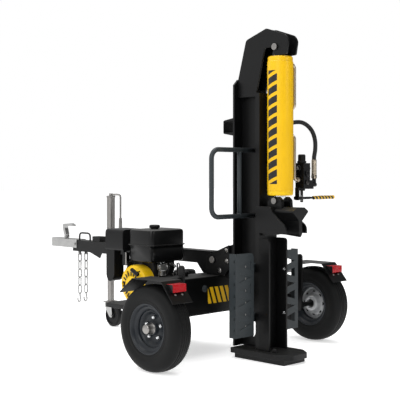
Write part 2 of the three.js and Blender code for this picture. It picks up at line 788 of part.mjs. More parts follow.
/** Lock plunger with a T-handle, shown drawn out: pushed in, its tip enters the beam bracket's cheek. */
function makeLockPin() {
  const { y, z, radius, boss } = lockPin;
  const tip = 81;
  const end = tip + 12 + boss + 26;
  const shank = bar("x", radius, tip, end, [y, z]);
  const knob = bar("z", 7, z - 30, z + 30, [end - 3, y], 10);
  chassis.add(piece("lock_pin", join(shank, knob), zincPlate));
}

/** End plate on the tank with the stub axle, and the post that holds the fender. */
function makeSpindle(side) {
  const x0 = tank.half + GAP;
  const wall = 12;
  const edge = rounded([
    [-38, 205, 20],
    [-42, 300],
    [-42, 552, 20],
    [0, 552, 20],
    [4, 300, 20],
    [120, 300, 10],
    [260, 330, 12],
    [260, 262, 12],
    [60, 190, 20],
  ]);
  const end = plate("yz", edge, x0, x0 + wall, 4);
  const axle = bar("x", 15, x0 + wall - 1, hubEnd - 26, [0, axleHeight]);
  const shoulder = bar("x", 24, x0 + wall - 1, x0 + wall + 40, [0, axleHeight], 16);
  const bolts = [[130, 275], [235, 300]].map((at) => hex("x", 19, x0 + wall - 1, x0 + wall + 9, at));
  const right = join(end, axle, shoulder, ...bolts);
  const body = side < 0 ? right.mirror([1, 0, 0]) : right;
  chassis.add(piece(side < 0 ? "stub_axle_left" : "stub_axle_right", body, blackPaint));
}

/** Bent sheet fender over the tyre, with a tab bolted to the post. */
function makeFender(side) {
  const wall = 3;
  const outerX = 746;
  const innerX = 602;
  const top = 492;
  const bend = [[217, 408], [112, top], [-116, top], [-206, 383]];
  const under = bend.map(([y, z], i) => offsetDown(i, y, z, wall)).reverse();
  const sheet = plate("yz", [...bend, ...under], innerX, outerX);
  const postX = tank.half + GAP + 12 + GAP;
  const tab = block(postX + 3, innerX + 1, -38, 2, top - wall, top);
  const ear = block(postX, postX + 4, -38, 2, 462, top);
  const bolt = hex("x", 17, postX + 3, postX + 12, [-18, 476]);
  const right = join(sheet, tab, ear, bolt);
  const body = side < 0 ? right.mirror([1, 0, 0]) : right;
  chassis.add(piece(side < 0 ? "fender_left" : "fender_right", body, blackPaint));
}

/** The inner corner of a bent sheet: end points move square to their flap, bend points straight down. */
function offsetDown(i, y, z, wall) {
  if (i === 0) return [y - wall * 0.62, z - wall * 0.78];
  if (i === 3) return [y + wall * 0.78, z - wall * 0.62];
  return [y + (i === 1 ? -1 : 1) * wall * 0.4, z - wall];
}

/** Tail light: a bracket block on the fender's rear flap with a ribbed red lens. */
function makeTailLight(side) {
  const [x0, x1] = side < 0 ? [-724, -628] : [628, 724];
  const lens = plate("yz", rounded([
    [-182, 437, 4],
    [-182, 478, 4],
    [-129.4, 478, 3],
    [-163.4, 437, 3],
  ]), x0, x1, 3);
  chassis.add(piece(side < 0 ? "tail_light_left" : "tail_light_right", lens, redLens));
}

/** Pneumatic tyre with rounded shoulders and a hollow inside, open along its beads. */
function makeTyre(side) {
  const x = side * trackHalf;
  const profile = [
    [118.2, -41.4],
    [140, -60],
    [182, -67],
    [216, -57],
    [axleHeight, -22],
    [axleHeight, 22],
    [216, 57],
    [182, 67],
    [140, 60],
    [118.2, 41.4],
    [118.2, 34],
    [200, 46],
    [200, -46],
    [118.2, -34],
    [118.2, -41.4],
  ];
  const tyre = turned("x", profile.map(([r, s]) => [r, x + s]), [0, axleHeight], 24);
  chassis.add(piece(side < 0 ? "tyre_left" : "tyre_right", tyre, tyreRubber));
}

/** Pressed rim with its hub, five lug nuts and the cap over the bearing nut. */
function makeRim(side) {
  const disc = [
    [17, -62],
    [34, -62],
    [34, -4],
    [72, -4],
    [98, -16],
    [98, -40],
    [132, -58],
    [116.6, -42],
    [102, -34],
    [102, 34],
    [116.6, 42],
    [132, 58],
    [98, 40],
    [98, -8],
    [72, 4],
    [36, 4],
    [26, 36],
    [26, hubEnd - trackHalf - 6],
    [20, hubEnd - trackHalf],
    [0, hubEnd - trackHalf],
    [0, hubEnd - trackHalf - 22],
    [17, hubEnd - trackHalf - 22],
    [17, -62],
  ];
  const body = turned("x", disc.map(([r, s]) => [r, s + trackHalf]), [0, axleHeight], 16);
  const pitchRadius = 114.3 / 2;
  const nuts = Array.from({ length: 5 }, (_, i) => {
    const turn = Math.PI / 2 + (i * 2 * Math.PI) / 5;
    const at = [pitchRadius * Math.cos(turn), axleHeight + pitchRadius * Math.sin(turn)];
    return hex("x", 19, trackHalf + 2, trackHalf + 20, at);
  });
  const right = join(body, ...nuts);
  const whole = side < 0 ? right.mirror([1, 0, 0]) : right;
  chassis.add(piece(side < 0 ? "rim_left" : "rim_right", whole, rimPaint));
}

// ---------------------------------------------------------------- tongue, coupler and jack

/** Centre of the eye under the tongue that a safety chain hangs from. */
function chainEye(side) {
  return { x: side * 27, y: 1480, z: tongue.z0 - 12 };
}

/** Square drawbar on its pedestal, with its manual box, lifting handle and the two eyes for the chains. */
function makeTongue() {
  const { half, z0, z1, y0, y1 } = tongue;
  const wall = 5;
  const tube = cut(
    block(-half, half, y0, y1, z0, z1),
    block(-half + wall, half - wall, y0 - 1, y1 + 1, z0 + wall, z1 - wall),
  );
  const pedestal = plate("yz", [
    [206, tank.z1 + GAP],
    [206, z0 + 1],
    [330, z0 + 1],
    [tank.y1, tank.z1 + GAP],
  ], -half, half);
  const gusset = plate("yz", [
    [1232, z0 + 1],
    [1252, 478],
    [1360, z0 + 1],
  ], -half, -half + 6);
  const docs = block(-30, 30, 1262, 1340, z1 - 1, z1 + 34);
  const handle = bent([
    [-26, 1368, z1 - 3],
    [-26, 1368, z1 + 52],
    [-26, 1484, z1 + 52],
    [-26, 1484, z1 - 3],
  ], 6, 26, 6);
  const eyeHole = 7.4;
  const lugs = [-1, 1].map((side) => {
    const { x, y, z } = chainEye(side);
    const lug = plate("yz", rounded([
      [y - 14, z0 + 1],
      [y - 14, z - 12, 8],
      [y + 14, z - 12, 8],
      [y + 14, z0 + 1],
    ]), x - 2, x + 2, 2);
    return cut(lug, bar("x", eyeHole, x - 3, x + 3, [y, z], 8));
  });
  chassis.add(piece("tongue", join(tube, pedestal, gusset, docs, handle, ...lugs), blackPaint));
}

const latchPin = { y: 1663, z: tongue.z1 + 16 };

/** Ball coupler: a pressed channel that wraps the tongue's end and closes in a socket for the tow ball. */
function makeCoupler() {
  const { half, z0, z1 } = tongue;
  const wall = 4;
  const inner = half + GAP;
  const outer = inner + wall;
  const nose = 1810;
  const ballY = 1768;
  const top = new THREE.Shape();
  top.moveTo(-outer, 1500);
  top.lineTo(-outer, 1640);
  top.quadraticCurveTo(-34, 1700, -42, 1752);
  top.quadraticCurveTo(-42, nose, 0, nose);
  top.quadraticCurveTo(42, nose, 42, 1752);
  top.quadraticCurveTo(34, 1700, outer, 1640);
  top.lineTo(outer, 1500);
  const shell = plate("xy", top, z0 + 22, z1 + GAP + wall, 6);
  const channel = block(-inner, inner, 1499, tongue.y1 + 12, z0 - 20, z1 + GAP);
  const trough = block(-26, 26, tongue.y1 - 2, 1720, z0 - 20, z1 - 10);
  const ball = 26;
  const socket = turned("z", [
    [0, z0 - 30],
    [ball, z0 - 30],
    [ball, 552],
    [21, 568],
    [10, 576],
    [0, 577],
  ], [0, ballY], 16);
  const bolts = [
    hex("x", 19, -outer - 9, -outer + 1, [1520, 560]),
    hex("x", 19, outer - 1, outer + 9, [1520, 560]),
  ];
  const { y: latchY, z: latchZ } = latchPin;
  const boss = join(
    block(-10, 10, latchY - 10, latchY + 10, z1 + wall - 1, latchZ),
    bar("x", 10, -10, 10, [latchY, latchZ], 16),
  );
  const bore = bar("x", 4 + GAP, -11, 11, [latchY, latchZ]);
  const body = join(cut(shell, channel, trough, socket), ...bolts, cut(boss, bore));
  chassis.add(piece("coupler", body, zincPlate));
}

/** Over-centre latch on the coupler's top. */
function makeCouplerLatch() {
  const { y, z } = latchPin;
  const profile = rounded([
    [1652, z + 14, 6],
    [1674, z + 12, 6],
    [1690, z + 60, 6],
    [1690, z + 88, 8],
    [1606, z + 96, 10],
    [1576, z + 84, 6],
    [1578, z + 76, 4],
    [1664, z + 78, 10],
    [1668, z + 60, 6],
  ]);
  const arms = [
    [-15, -10 - GAP],
    [10 + GAP, 15],
  ].flatMap(([x0, x1]) => [
    bar("x", 9.5, x0, x1, [y, z]),
    block(x0, x1, y - 9, y + 9, z, z + 22),
  ]);
  const handle = plate("yz", profile, -15, 15, 2);
  const pinBar = bar("x", 4, -16, 16, [y, z], 10);
  chassis.add(piece("coupler_latch", join(handle, ...arms, pinBar), zincPlate));
}

/** Safety chain: links joined end to end below its eye, each turned a quarter from the last, with a hook. */
function makeChain(side) {
  const { x, y, z } = chainEye(side);
  const wire = 4;
  const halfLong = 30;
  const halfWide = 12;
  const pitch = 2 * halfLong - 2 * wire + 3;
  const count = 5;
  const top = z - halfLong;
  const link = (height, turn) => {
    const flat = halfLong - halfWide;
    const ringPoints = Array.from({ length: 8 }, (_, i) => {
      const a = ((i + 0.5) / 8) * 2 * Math.PI;
      const reach = Math.sin(a) > 0 ? flat : -flat;
      return new THREE.Vector3(halfWide * Math.cos(a), 0, reach + halfWide * Math.sin(a));
    });
    const ring = new THREE.CatmullRomCurve3(ringPoints, true, "catmullrom", 0.2);
    const wireSolid = solid(new THREE.TubeGeometry(ring, 8, wire, 4, true));
    return wireSolid.rotate([0, 0, turn]).translate([x, y, height]);
  };
  const links = Array.from({ length: count }, (_, i) => link(top - i * pitch, i % 2 ? 90 : 0));
  const end = top - (count - 1) * pitch - halfLong + wire;
  const hook = bent([
    [x, y, end + 3],
    [x, y - 2, end - 22],
    [x, y - 10, end - 44],
    [x, y + 6, end - 62],
    [x, y + 22, end - 48],
    [x, y + 22, end - 36],
  ], 4.6, 8, 4);
  const name = side < 0 ? "safety_chain_left" : "safety_chain_right";
  chassis.add(piece(name, join(...links, hook), zincPlate));
}

/** Plate clamped to the tongue's right side, with the hub that the jack swivels on. */
function makeJackMount() {
  const { y } = jackAt;
  const x0 = tongue.half + GAP;
  const mid = (tongue.z0 + tongue.z1) / 2;
  const base = block(x0, x0 + 8, y - 46, y + 46, tongue.z0 - 4, tongue.z1 + 4);
  const hub = bar("x", 32, x0 + 7, x0 + 24, [y, mid], 16);
  chassis.add(piece("jack_mount", join(base, hub), zincPlate));
}

/** Outer tube of the jack with its lid and the collar that turns on the mount's hub. */
function makeJackTube() {
  const { x, y, top, sleeveLow, radius, wall } = jackAt;
  const inner = radius - wall;
  const tube = turned("z", [
    [inner, sleeveLow],
    [radius, sleeveLow],
    [radius, top - 6],
    [inner, top - 6],
    [inner, sleeveLow],
  ], [x, y], 16);
  const lid = turned("z", [
    [9, top - 7],
    [radius, top - 7],
    [radius + 3, top - 5],
    [radius + 3, top + 3],
    [radius - 3, top + 6],
    [9, top + 6],
    [9, top - 7],
  ], [x, y], 16);
  const mid = (tongue.z0 + tongue.z1) / 2;
  const hubFace = tongue.half + GAP + 24;
  const collar = cut(
    bar("x", 32, hubFace + GAP, x - 10, [y, mid], 16),
    bar("z", radius - 1, mid - 40, mid + 40, [x, y], 16),
  );
  chassis.add(piece("jack_tube", join(tube, lid, collar), zincPlate));
}

/** Inner tube with the nut that the screw drives up and down, and the plate over the caster. */
function makeJackLeg() {
  const { x, y, radius, wall } = jackAt;
  const outer = radius - wall - 0.6;
  const inner = outer - 4.5;
  const low = caster.plateZ + 5;
  const leg = turned("z", [
    [inner, low],
    [outer, low],
    [outer, 760],
    [inner, 760],
    [inner, low],
  ], [x, y], 16);
  const sole = block(x - 42, x + 42, y - 34, y + 34, low - 5, low + 1);
  const nut = turned("z", [
    [9 + GAP, 728],
    [inner + 1, 728],
    [inner + 1, 750],
    [9 + GAP, 750],
    [9 + GAP, 728],
  ], [x, y], 16);
  chassis.add(piece("jack_leg", join(leg, sole, nut), zincPlate));
}

/** Screw with the crank on its top: a cross arm, a drop arm and a turning knob. */
function makeJackCrank() {
  const { x, y, top } = jackAt;
  const reach = 66 * Math.SQRT1_2;
  const z = top + 14;
  const screw = bar("z", 8.5, 420, z, [x, y]);
  const collar = bar("z", 13, top + 6 + GAP, z + 8, [x, y]);
  const drop = bent([
    [x, y, z],
    [x + reach, y - reach, z],
    [x + reach, y - reach, 690],
  ], 6.5, 20, 8);
  const grip = bar("z", 13, 640, 740, [x + reach, y - reach], 12, 11);
  chassis.add(piece("jack_crank", join(screw, collar, drop, grip), zincPlate));
}

/** Caster fork that turns under the leg's plate. */
function makeCasterFork() {
  const { x, y } = jackAt;
  const { radius, half, trail, plateZ } = caster;
  const top = plateZ - GAP;
  const wheelY = y - trail;
  const race = bar("z", 28, top - 6, top, [x, y], 14);
  const crown = block(x - half - 8, x + half + 8, y - 34, y + 30, top - 10, top - 5);
  const cheek = rounded([
    [y + 30, top - 5],
    [y + 30, top - 30, 10],
    [wheelY + 14, radius - 12, 12],
    [wheelY - 14, radius - 12, 12],
    [y - 40, top - 30, 10],
    [y - 34, top - 5],
  ]);
  const cheeks = [
    [x - half - 8, x - half - 4],
    [x + half + 4, x + half + 8],
  ].map(([x0, x1]) => plate("yz", cheek, x0, x1, 3));
  const axle = bar("x", 7, x - half - 12, x + half + 12, [wheelY, radius]);
  chassis.add(piece("caster_fork", join(race, crown, ...cheeks, axle), zincPlate));
}

function makeCasterWheel() {
  const { x, y } = jackAt;
  const { radius, half, trail } = caster;
  const wheel = turned("x", [
    [7 + GAP, x - half + 2],
    [22, x - half],
    [24, x - half + 7],
    [52, x - half + 7],
    [56, x - half],
    [66, x - half],
    [radius, x - half + 8],
    [radius, x + half - 8],
    [66, x + half],
    [56, x + half],
    [52, x + half - 7],
    [24, x + half - 7],
    [22, x + half],
    [7 + GAP, x + half - 2],
    [7 + GAP, x - half + 2],
  ], [y - trail, radius], 16);
  chassis.add(piece("caster_wheel", wheel, tyreRubber));
}

// ---------------------------------------------------------------- engine and pump

/** Folded deck that the engine and pump stand on, bolted along the tank's front. */
function makeEngineDeck() {
  const { y1 } = tank;
  const top = block(-440, 160, y1 + GAP, 700, deckTop - 6, deckTop);
  const skirts = [[-440, -434], [154, 160]].map(([x0, x1]) => block(x0, x1, y1 + GAP, 700, 250, deckTop - 1));
  const lip = block(-440, 160, 694, 700, 250, deckTop - 1);
  const hanger = plate("yz", [
    [560, deckTop - 1],
    [560, tongue.z0 - GAP],
    [620, tongue.z0 - GAP],
    [690, deckTop - 1],
  ], -30, -22);
  chassis.add(piece("engine_deck", join(top, ...skirts, lip, hanger), blackPaint));
}

/** Crankcase with its feet, the finned cylinder leaning forward, and the cylinder head. */
function makeEngineBlock() {
  const { y, z } = crank;
  const base = deckTop + GAP;
  const x0 = -352;
  const x1 = -170;
  const caseSolid = plate("yz", rounded([
    [y - 96, base],
    [y - 104, z - 40, 10],
    [y - 96, z + 60, 24],
    [y - 20, z + 104, 20],
    [y + 90, z + 84, 20],
    [y + 104, z - 40, 14],
    [y + 96, base],
  ]), x0, x1, 3);
  const feet = [-1, 1].map((s) => block(x0 + 10, x1 - 10, y + s * 70 - 40, y + s * 70 + 40, base, base + 12));
  const lean = Math.PI / 7;
  const fins = Array.from({ length: 6 }, (_, i) => {
    const fin = block(-62, 62, 84 + i * 14, 84 + i * 14 + 6, -58, 58);
    return fin.rotate([(lean * 180) / Math.PI, 0, 0]).translate([(x0 + x1) / 2, y, z]);
  });
  const bore = block(-48, 48, 60, 172, -46, 46).rotate([(lean * 180) / Math.PI, 0, 0]);
  const head = block(-58, 58, 164, 196, -54, 54).rotate([(lean * 180) / Math.PI, 0, 0]);
  const upper = join(bore, head).translate([(x0 + x1) / 2, y, z]);
  const cover = bar("x", 70, x1 - 1, x1 + 14, [y, z], 20);
  const dipstick = bar("y", 13, y - 122, y - 96, [z - 40, -210], 10);
  const drain = hex("y", 17, y - 112, y - 96, [base + 22, -300]);
  const body = join(caseSolid, ...feet, ...fins, upper, cover, dipstick, drain);
  chassis.add(piece("engine_block", body, castAlloy));
}

/** Round fan cover with louvres and the recoil starter's raised centre. */
function makeFanCover() {
  const { y, z } = crank;
  const face = -440;
  const body = turned("x", [
    [0, face],
    [44, face],
    [52, face + 6],
    [96, face + 10],
    [112, face + 22],
    [116, face + 36],
    [116, -352 - GAP],
    [108, -352 - GAP],
    [108, face + 40],
    [92, face + 22],
    [0, face + 22],
  ], [y, z], 20);
  const louvres = Array.from({ length: 6 }, (_, i) => {
    const slot = block(face - 4, face + 26, 60, 88, -8, 8);
    return slot.rotate([i * 60, 0, 0]).translate([0, y, z]);
  });
  const cordEye = bar("x", pullCord.radius + 2, face - 1, face + 50, [pullCord.y, pullCord.z], 8);
  chassis.add(piece("fan_cover", cut(body, ...louvres, cordEye), yellowPaint));
}

/** T-shaped grip of the recoil starter with the first stretch of its cord, which runs into the fan cover. */
function makeRecoilGrip() {
  const { y, z, radius } = pullCord;
  const gripX = -462;
  const grip = turned("y", [
    [0, -34],
    [9, -34],
    [12, -28],
    [12, 28],
    [9, 34],
    [0, 34],
  ], [0, 0], 12).rotate([25, 0, 0]).translate([gripX, y, z]);
  const stem = bar("x", radius, gripX, -360, [y, z], 8);
  chassis.add(piece("recoil_grip", join(grip, stem), blackPlastic));
}

/** Fuel tank: a rounded box pressed from two halves, whose seam shows as a flange round the middle. */
function makeFuelTank() {
  const { x0, x1, y0, y1, z0, z1, seam } = fuel;
  const half = (inset, low, high, drop) => {
    const foot = rounded([
      [x0 + inset, y0 + inset, 26],
      [x0 + inset, y1 - inset, 26],
      [x1 - inset, y1 - inset, 26],
      [x1 - inset, y0 + inset, 26],
    ]);
    const geometry = new THREE.ExtrudeGeometry(foot, {
      depth: high - low - drop,
      bevelEnabled: true,
      bevelThickness: drop,
      bevelSize: drop,
      bevelOffset: -drop,
      bevelSegments: 2,
      curveSegments: 3,
    });
    return solid(geometry.translate(0, 0, low));
  };
  const upper = cut(half(4, seam - 10, z1, 16), block(x0 - 5, x1 + 5, y0 - 5, y1 + 5, z0 - 60, seam));
  const lower = cut(half(4, z0, seam + 10, 14), block(x0 - 5, x1 + 5, y0 - 5, y1 + 5, seam, z1 + 60));
  const flange = plate("xy", rounded([
    [x0 - 3, y0 - 3, 30],
    [x0 - 3, y1 + 3, 30],
    [x1 + 3, y1 + 3, 30],
    [x1 + 3, y0 - 3, 30],
  ]), seam - 3, seam + 3, 4);
  const neck = bar("z", 24, z1 - 2, z1 + 6, [-300, 420], 16);
  const legs = [x0 + 110, x1 - 60].map((x) => block(x, x + 30, 470, 496, 500, z0 + 20));
  const whole = join(upper, lower, flange, neck, ...legs);
  chassis.add(piece("fuel_tank", cut(whole, engineClearance()), blackPaint));
}

/** Space that the crankcase and cylinder take, with a small gap, which the pieces round them leave free. */
function engineClearance() {
  return block(-360, -160, 350, 700, 480, 505 + GAP);
}

function makeFuelCap() {
  const z = fuel.z1 + 6 + GAP;
  const cap = turned("z", [
    [0, z],
    [30, z],
    [32, z + 4],
    [32, z + 13],
    [26, z + 18],
    [0, z + 18],
  ], [-300, 420], 20);
  chassis.add(piece("fuel_cap", cap, blackPlastic));
}

/** Air cleaner: a boxy cover over the carburettor with a duct down its front. */
function makeAirCleaner() {
  const cover = plate("zx", rounded([
    [590, -430, 16],
    [590, -250, 16],
    [716, -250, 24],
    [716, -430, 24],
  ]), 556, 716, 3);
  const duct = plate("yz", rounded([
    [640, 440, 14],
    [640, 592],
    [714, 592],
    [714, 430, 20],
    [690, 400, 20],
    [660, 410, 14],
  ]), -424, -350, 3);
  const controlPlate = join(
    block(-428, -392, 512, 560, 508, 532),
    block(-428, -392, 536, 560, 531, 584),
  );
  const stay = block(-424, -400, 555, 580, 570, 594);
  chassis.add(piece("air_cleaner", join(cover, duct, controlPlate, stay), blackPlastic));
}

/** Box muffler with its guard, on the pump side of the cylinder head. */
function makeMuffler() {
  const box = plate("zx", rounded([
    [540, -150 + 14, 12],
    [540, -50, 12],
    [640, -50, 12],
    [640, -150 + 14, 12],
  ]), 540, 690, 3);
  const flange = bar("x", 17, -150 - 24, -135, [600, 575]);
  const outlet = bar("y", 14, 689, 712, [590, -92]);
  chassis.add(piece("muffler", join(box, flange, outlet), castAlloy));
}

/** Throttle lever on the engine's recoil side, in front of the air cleaner's control plate. */
function makeThrottle() {
  const [y, z] = [524, 520];
  const outside = -428 - GAP;
  const blade = plate("yz", rounded([
    [y - 5, z - 7, 4],
    [y + 5, z - 7, 4],
    [y + 4, z + 40],
    [y + 6, z + 66, 5],
    [y - 4, z + 66, 5],
    [y - 5, z + 40],
  ]), outside - 5, outside - 2, 3);
  const washer = bar("x", 6, outside - 2.5, outside, [y, z], 10);
  chassis.add(piece("throttle_lever", join(blade, washer), greyPaint));
}

/** Gear pump on its bell housing, driven through the coupling on the crankshaft. */
function makePump() {
  const { y, z } = crank;
  const faceX = -170 + 14 + GAP;
  const bell = turned("x", [
    [58, faceX],
    [82, faceX],
    [82, faceX + 8],
    [64, faceX + 12],
    [56, faceX + 92],
    [60, faceX + 100],
    [0, faceX + 100],
    [0, faceX + 92],
    [46, faceX + 92],
    [54, faceX + 12],
    [58, faceX],
  ], [y, z], 16);
  const windows = [90, 270].map((angle) =>
    block(faceX + 26, faceX + 80, 40, 80, -24, 24).rotate([angle, 0, 0]).translate([0, y, z]));
  const gearCase = plate("yz", rounded([
    [y - 44, z - 58, 24],
    [y - 44, z + 58, 24],
    [y + 44, z + 58, 24],
    [y + 44, z - 58, 24],
  ]), faceX + 99, faceX + 205, 3);
  const inlet = bar("y", 18, y - 70, y - 43, [z - 10, faceX + 150]);
  const outlet = bar("y", 13, y + 43, y + 66, [z - 10, faceX + 150]);
  const bellOpen = cut(bell, ...windows, bar("x", 12, faceX + 60, faceX + 101, [y, z]));
  chassis.add(piece("hydraulic_pump", join(bellOpen, gearCase, inlet, outlet), castAlloy));
  const coupling = turned("x", [
    [0, faceX + 4],
    [12, faceX + 4],
    [12, faceX + 18],
    [32, faceX + 18],
    [32, faceX + 42],
    [28, faceX + 44],
    [28, faceX + 48],
    [32, faceX + 50],
    [32, faceX + 74],
    [11, faceX + 74],
    [11, faceX + 84],
    [0, faceX + 84],
  ], [y, z], 12);
  chassis.add(piece("drive_coupling", coupling, castAlloy));
}

// ---------------------------------------------------------------- assembly

makeBeam();
makeFoot();
makeGuideRail(-1);
makeGuideRail(1);
makeTower();
makeTongueRest();
makeBeamBracket();
makeHandle();
makeLogCatcher(-1);
makeLogCatcher(1);
makeBarrel();
makeGland();
makeTopPin();
makePortPipe();
makeValveBody();
makeValveSpool();
makeLever();
makeHose();
makeBulkheadElbow();
makeWedge();
makeRod();
makeRodPin();

makeTank();
makeFillerCap();
makeTiltBracket();
makeLockPin();
for (const side of [-1, 1]) {
  makeSpindle(side);
  makeFender(side);
  makeTailLight(side);
  makeTyre(side);
  makeRim(side);
  makeChain(side);
}
makeTongue();
makeCoupler();
makeCouplerLatch();
makeJackMount();
makeJackTube();
makeJackLeg();
makeJackCrank();
makeCasterFork();
makeCasterWheel();
makeEngineDeck();
makeEngineBlock();
makeFanCover();
makeRecoilGrip();
makeFuelTank();
makeFuelCap();
makeAirCleaner();
makeMuffler();
makeThrottle();
makePump();

const bounds = new THREE.Box3().setFromObject(machine);
machine.position.y = -(bounds.min.y + bounds.max.y) / 2;
machine.position.x = -(bounds.min.x + bounds.max.x) / 2;

export default machine;
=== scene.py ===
import math

import bmesh
import bpy
from mathutils import Matrix, Vector


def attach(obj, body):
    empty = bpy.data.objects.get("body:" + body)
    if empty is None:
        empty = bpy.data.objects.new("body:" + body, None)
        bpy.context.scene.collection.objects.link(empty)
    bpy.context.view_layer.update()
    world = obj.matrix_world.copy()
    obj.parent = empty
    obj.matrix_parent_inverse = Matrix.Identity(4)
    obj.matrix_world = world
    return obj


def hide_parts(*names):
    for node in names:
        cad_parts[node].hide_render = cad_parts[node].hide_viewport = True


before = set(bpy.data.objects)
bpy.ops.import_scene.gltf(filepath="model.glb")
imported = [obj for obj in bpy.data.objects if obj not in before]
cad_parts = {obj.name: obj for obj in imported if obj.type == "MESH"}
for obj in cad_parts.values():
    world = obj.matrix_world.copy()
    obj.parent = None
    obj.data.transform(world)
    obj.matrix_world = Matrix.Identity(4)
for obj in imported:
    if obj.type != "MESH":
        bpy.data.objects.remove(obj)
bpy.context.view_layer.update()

# ---------------------------------------------------------------- studio
# A pale sweep of floor in an open white room that is brightest on the left: a broad key light from the upper
# left, a weaker fill from the right and a large soft panel overhead that draws the edges of the black steel.

scene = bpy.context.scene
scene.view_settings.view_transform = "Standard"
scene.view_settings.look = "None"

camera_data = bpy.data.cameras.new("studio_camera")
camera_data.lens = 84.645
camera_data.sensor_width = 36
camera_data.shift_y = -0.07
camera_data.clip_end = 200
camera = bpy.data.objects.new("studio_camera", camera_data)
camera.location = (-4.041, -4.359, 1.057)
camera.rotation_euler = (math.radians(90), 0, math.radians(-45.2))
scene.collection.objects.link(camera)
scene.camera = camera

world = bpy.data.worlds.new("white_room")
world.use_nodes = True
sky = world.node_tree.nodes
room = sky["Background"]
room.inputs["Color"].default_value = (1, 1, 1, 1)
sky_direction = sky.new("ShaderNodeTexCoord")
bright_side = sky.new("ShaderNodeVectorMath")
bright_side.operation = "DOT_PRODUCT"
bright_side.inputs[1].default_value = (-0.62, 0.60, 0.50)
room_light = sky.new("ShaderNodeMapRange")
for field, value in (("From Min", -0.6), ("From Max", 0.85), ("To Min", 0.05), ("To Max", 1.0)):
    room_light.inputs[field].default_value = value
seen_directly = sky.new("ShaderNodeLightPath")
strength = sky.new("ShaderNodeMix")
strength.inputs["B"].default_value = 1.0
sky_link = world.node_tree.links.new
sky_link(sky_direction.outputs["Generated"], bright_side.inputs[0])
sky_link(bright_side.outputs["Value"], room_light.inputs["Value"])
sky_link(seen_directly.outputs["Is Camera Ray"], strength.inputs["Factor"])
sky_link(room_light.outputs["Result"], strength.inputs["A"])
sky_link(strength.outputs["Result"], room.inputs["Strength"])
scene.world = world


def soft_light(name, place, target, width, height, power):
    """A rectangular studio light that faces a point."""
    data = bpy.data.lights.new(name, "AREA")
    data.shape = "RECTANGLE"
    data.size = width
    data.size_y = height
    data.energy = power
    lamp = bpy.data.objects.new(name, data)
    lamp.location = place
    aim = Vector(target) - Vector(place)
    lamp.rotation_euler = aim.to_track_quat("-Z", "Y").to_euler()
    scene.collection.objects.link(lamp)


soft_light("key_light", (-5.6, -2.6, 4.2), (0, -0.5, 0.7), 2.6, 2.2, 150)
soft_light("fill_light", (1.2, -6.0, 3.0), (0, -0.5, 0.8), 1.8, 1.8, 45)
soft_light("top_light", (0.0, -0.2, 5.6), (0, -0.2, 0), 4.6, 4.6, 200)


# ---------------------------------------------------------------- shader maths
# Every finish below is a Principled surface on Object coordinates; these two classes write its nodes.

class Value:
    """A number that varies over a surface: sums on it add Math nodes."""

    def __init__(self, finish, socket):
        self.finish = finish
        self.socket = socket

    def _math(self, operation, *values):
        return self.finish.add("ShaderNodeMath", "Value", {"operation": operation}, dict(enumerate(values)))

    def __add__(self, other):
        return self._math("ADD", self, other)

    def __radd__(self, other):
        return self._math("ADD", other, self)

    def __sub__(self, other):
        return self._math("SUBTRACT", self, other)

    def __mul__(self, other):
        return self._math("MULTIPLY", self, other)

    def __truediv__(self, other):
        return self._math("DIVIDE", self, other)

    def __gt__(self, other):
        return self._math("GREATER_THAN", self, other)

    def __lt__(self, other):
        return self._math("LESS_THAN", self, other)

    def wave(self):
        return self._math("SINE", self)

    def part(self):
        return self._math("FRACT", self)

    def size(self):
        return self._math("ABSOLUTE", self)

    def turn_from(self, other):
        """The angle whose sine side is this value and whose cosine side is the other, in radians."""
        return self._math("ARCTAN2", self, other)


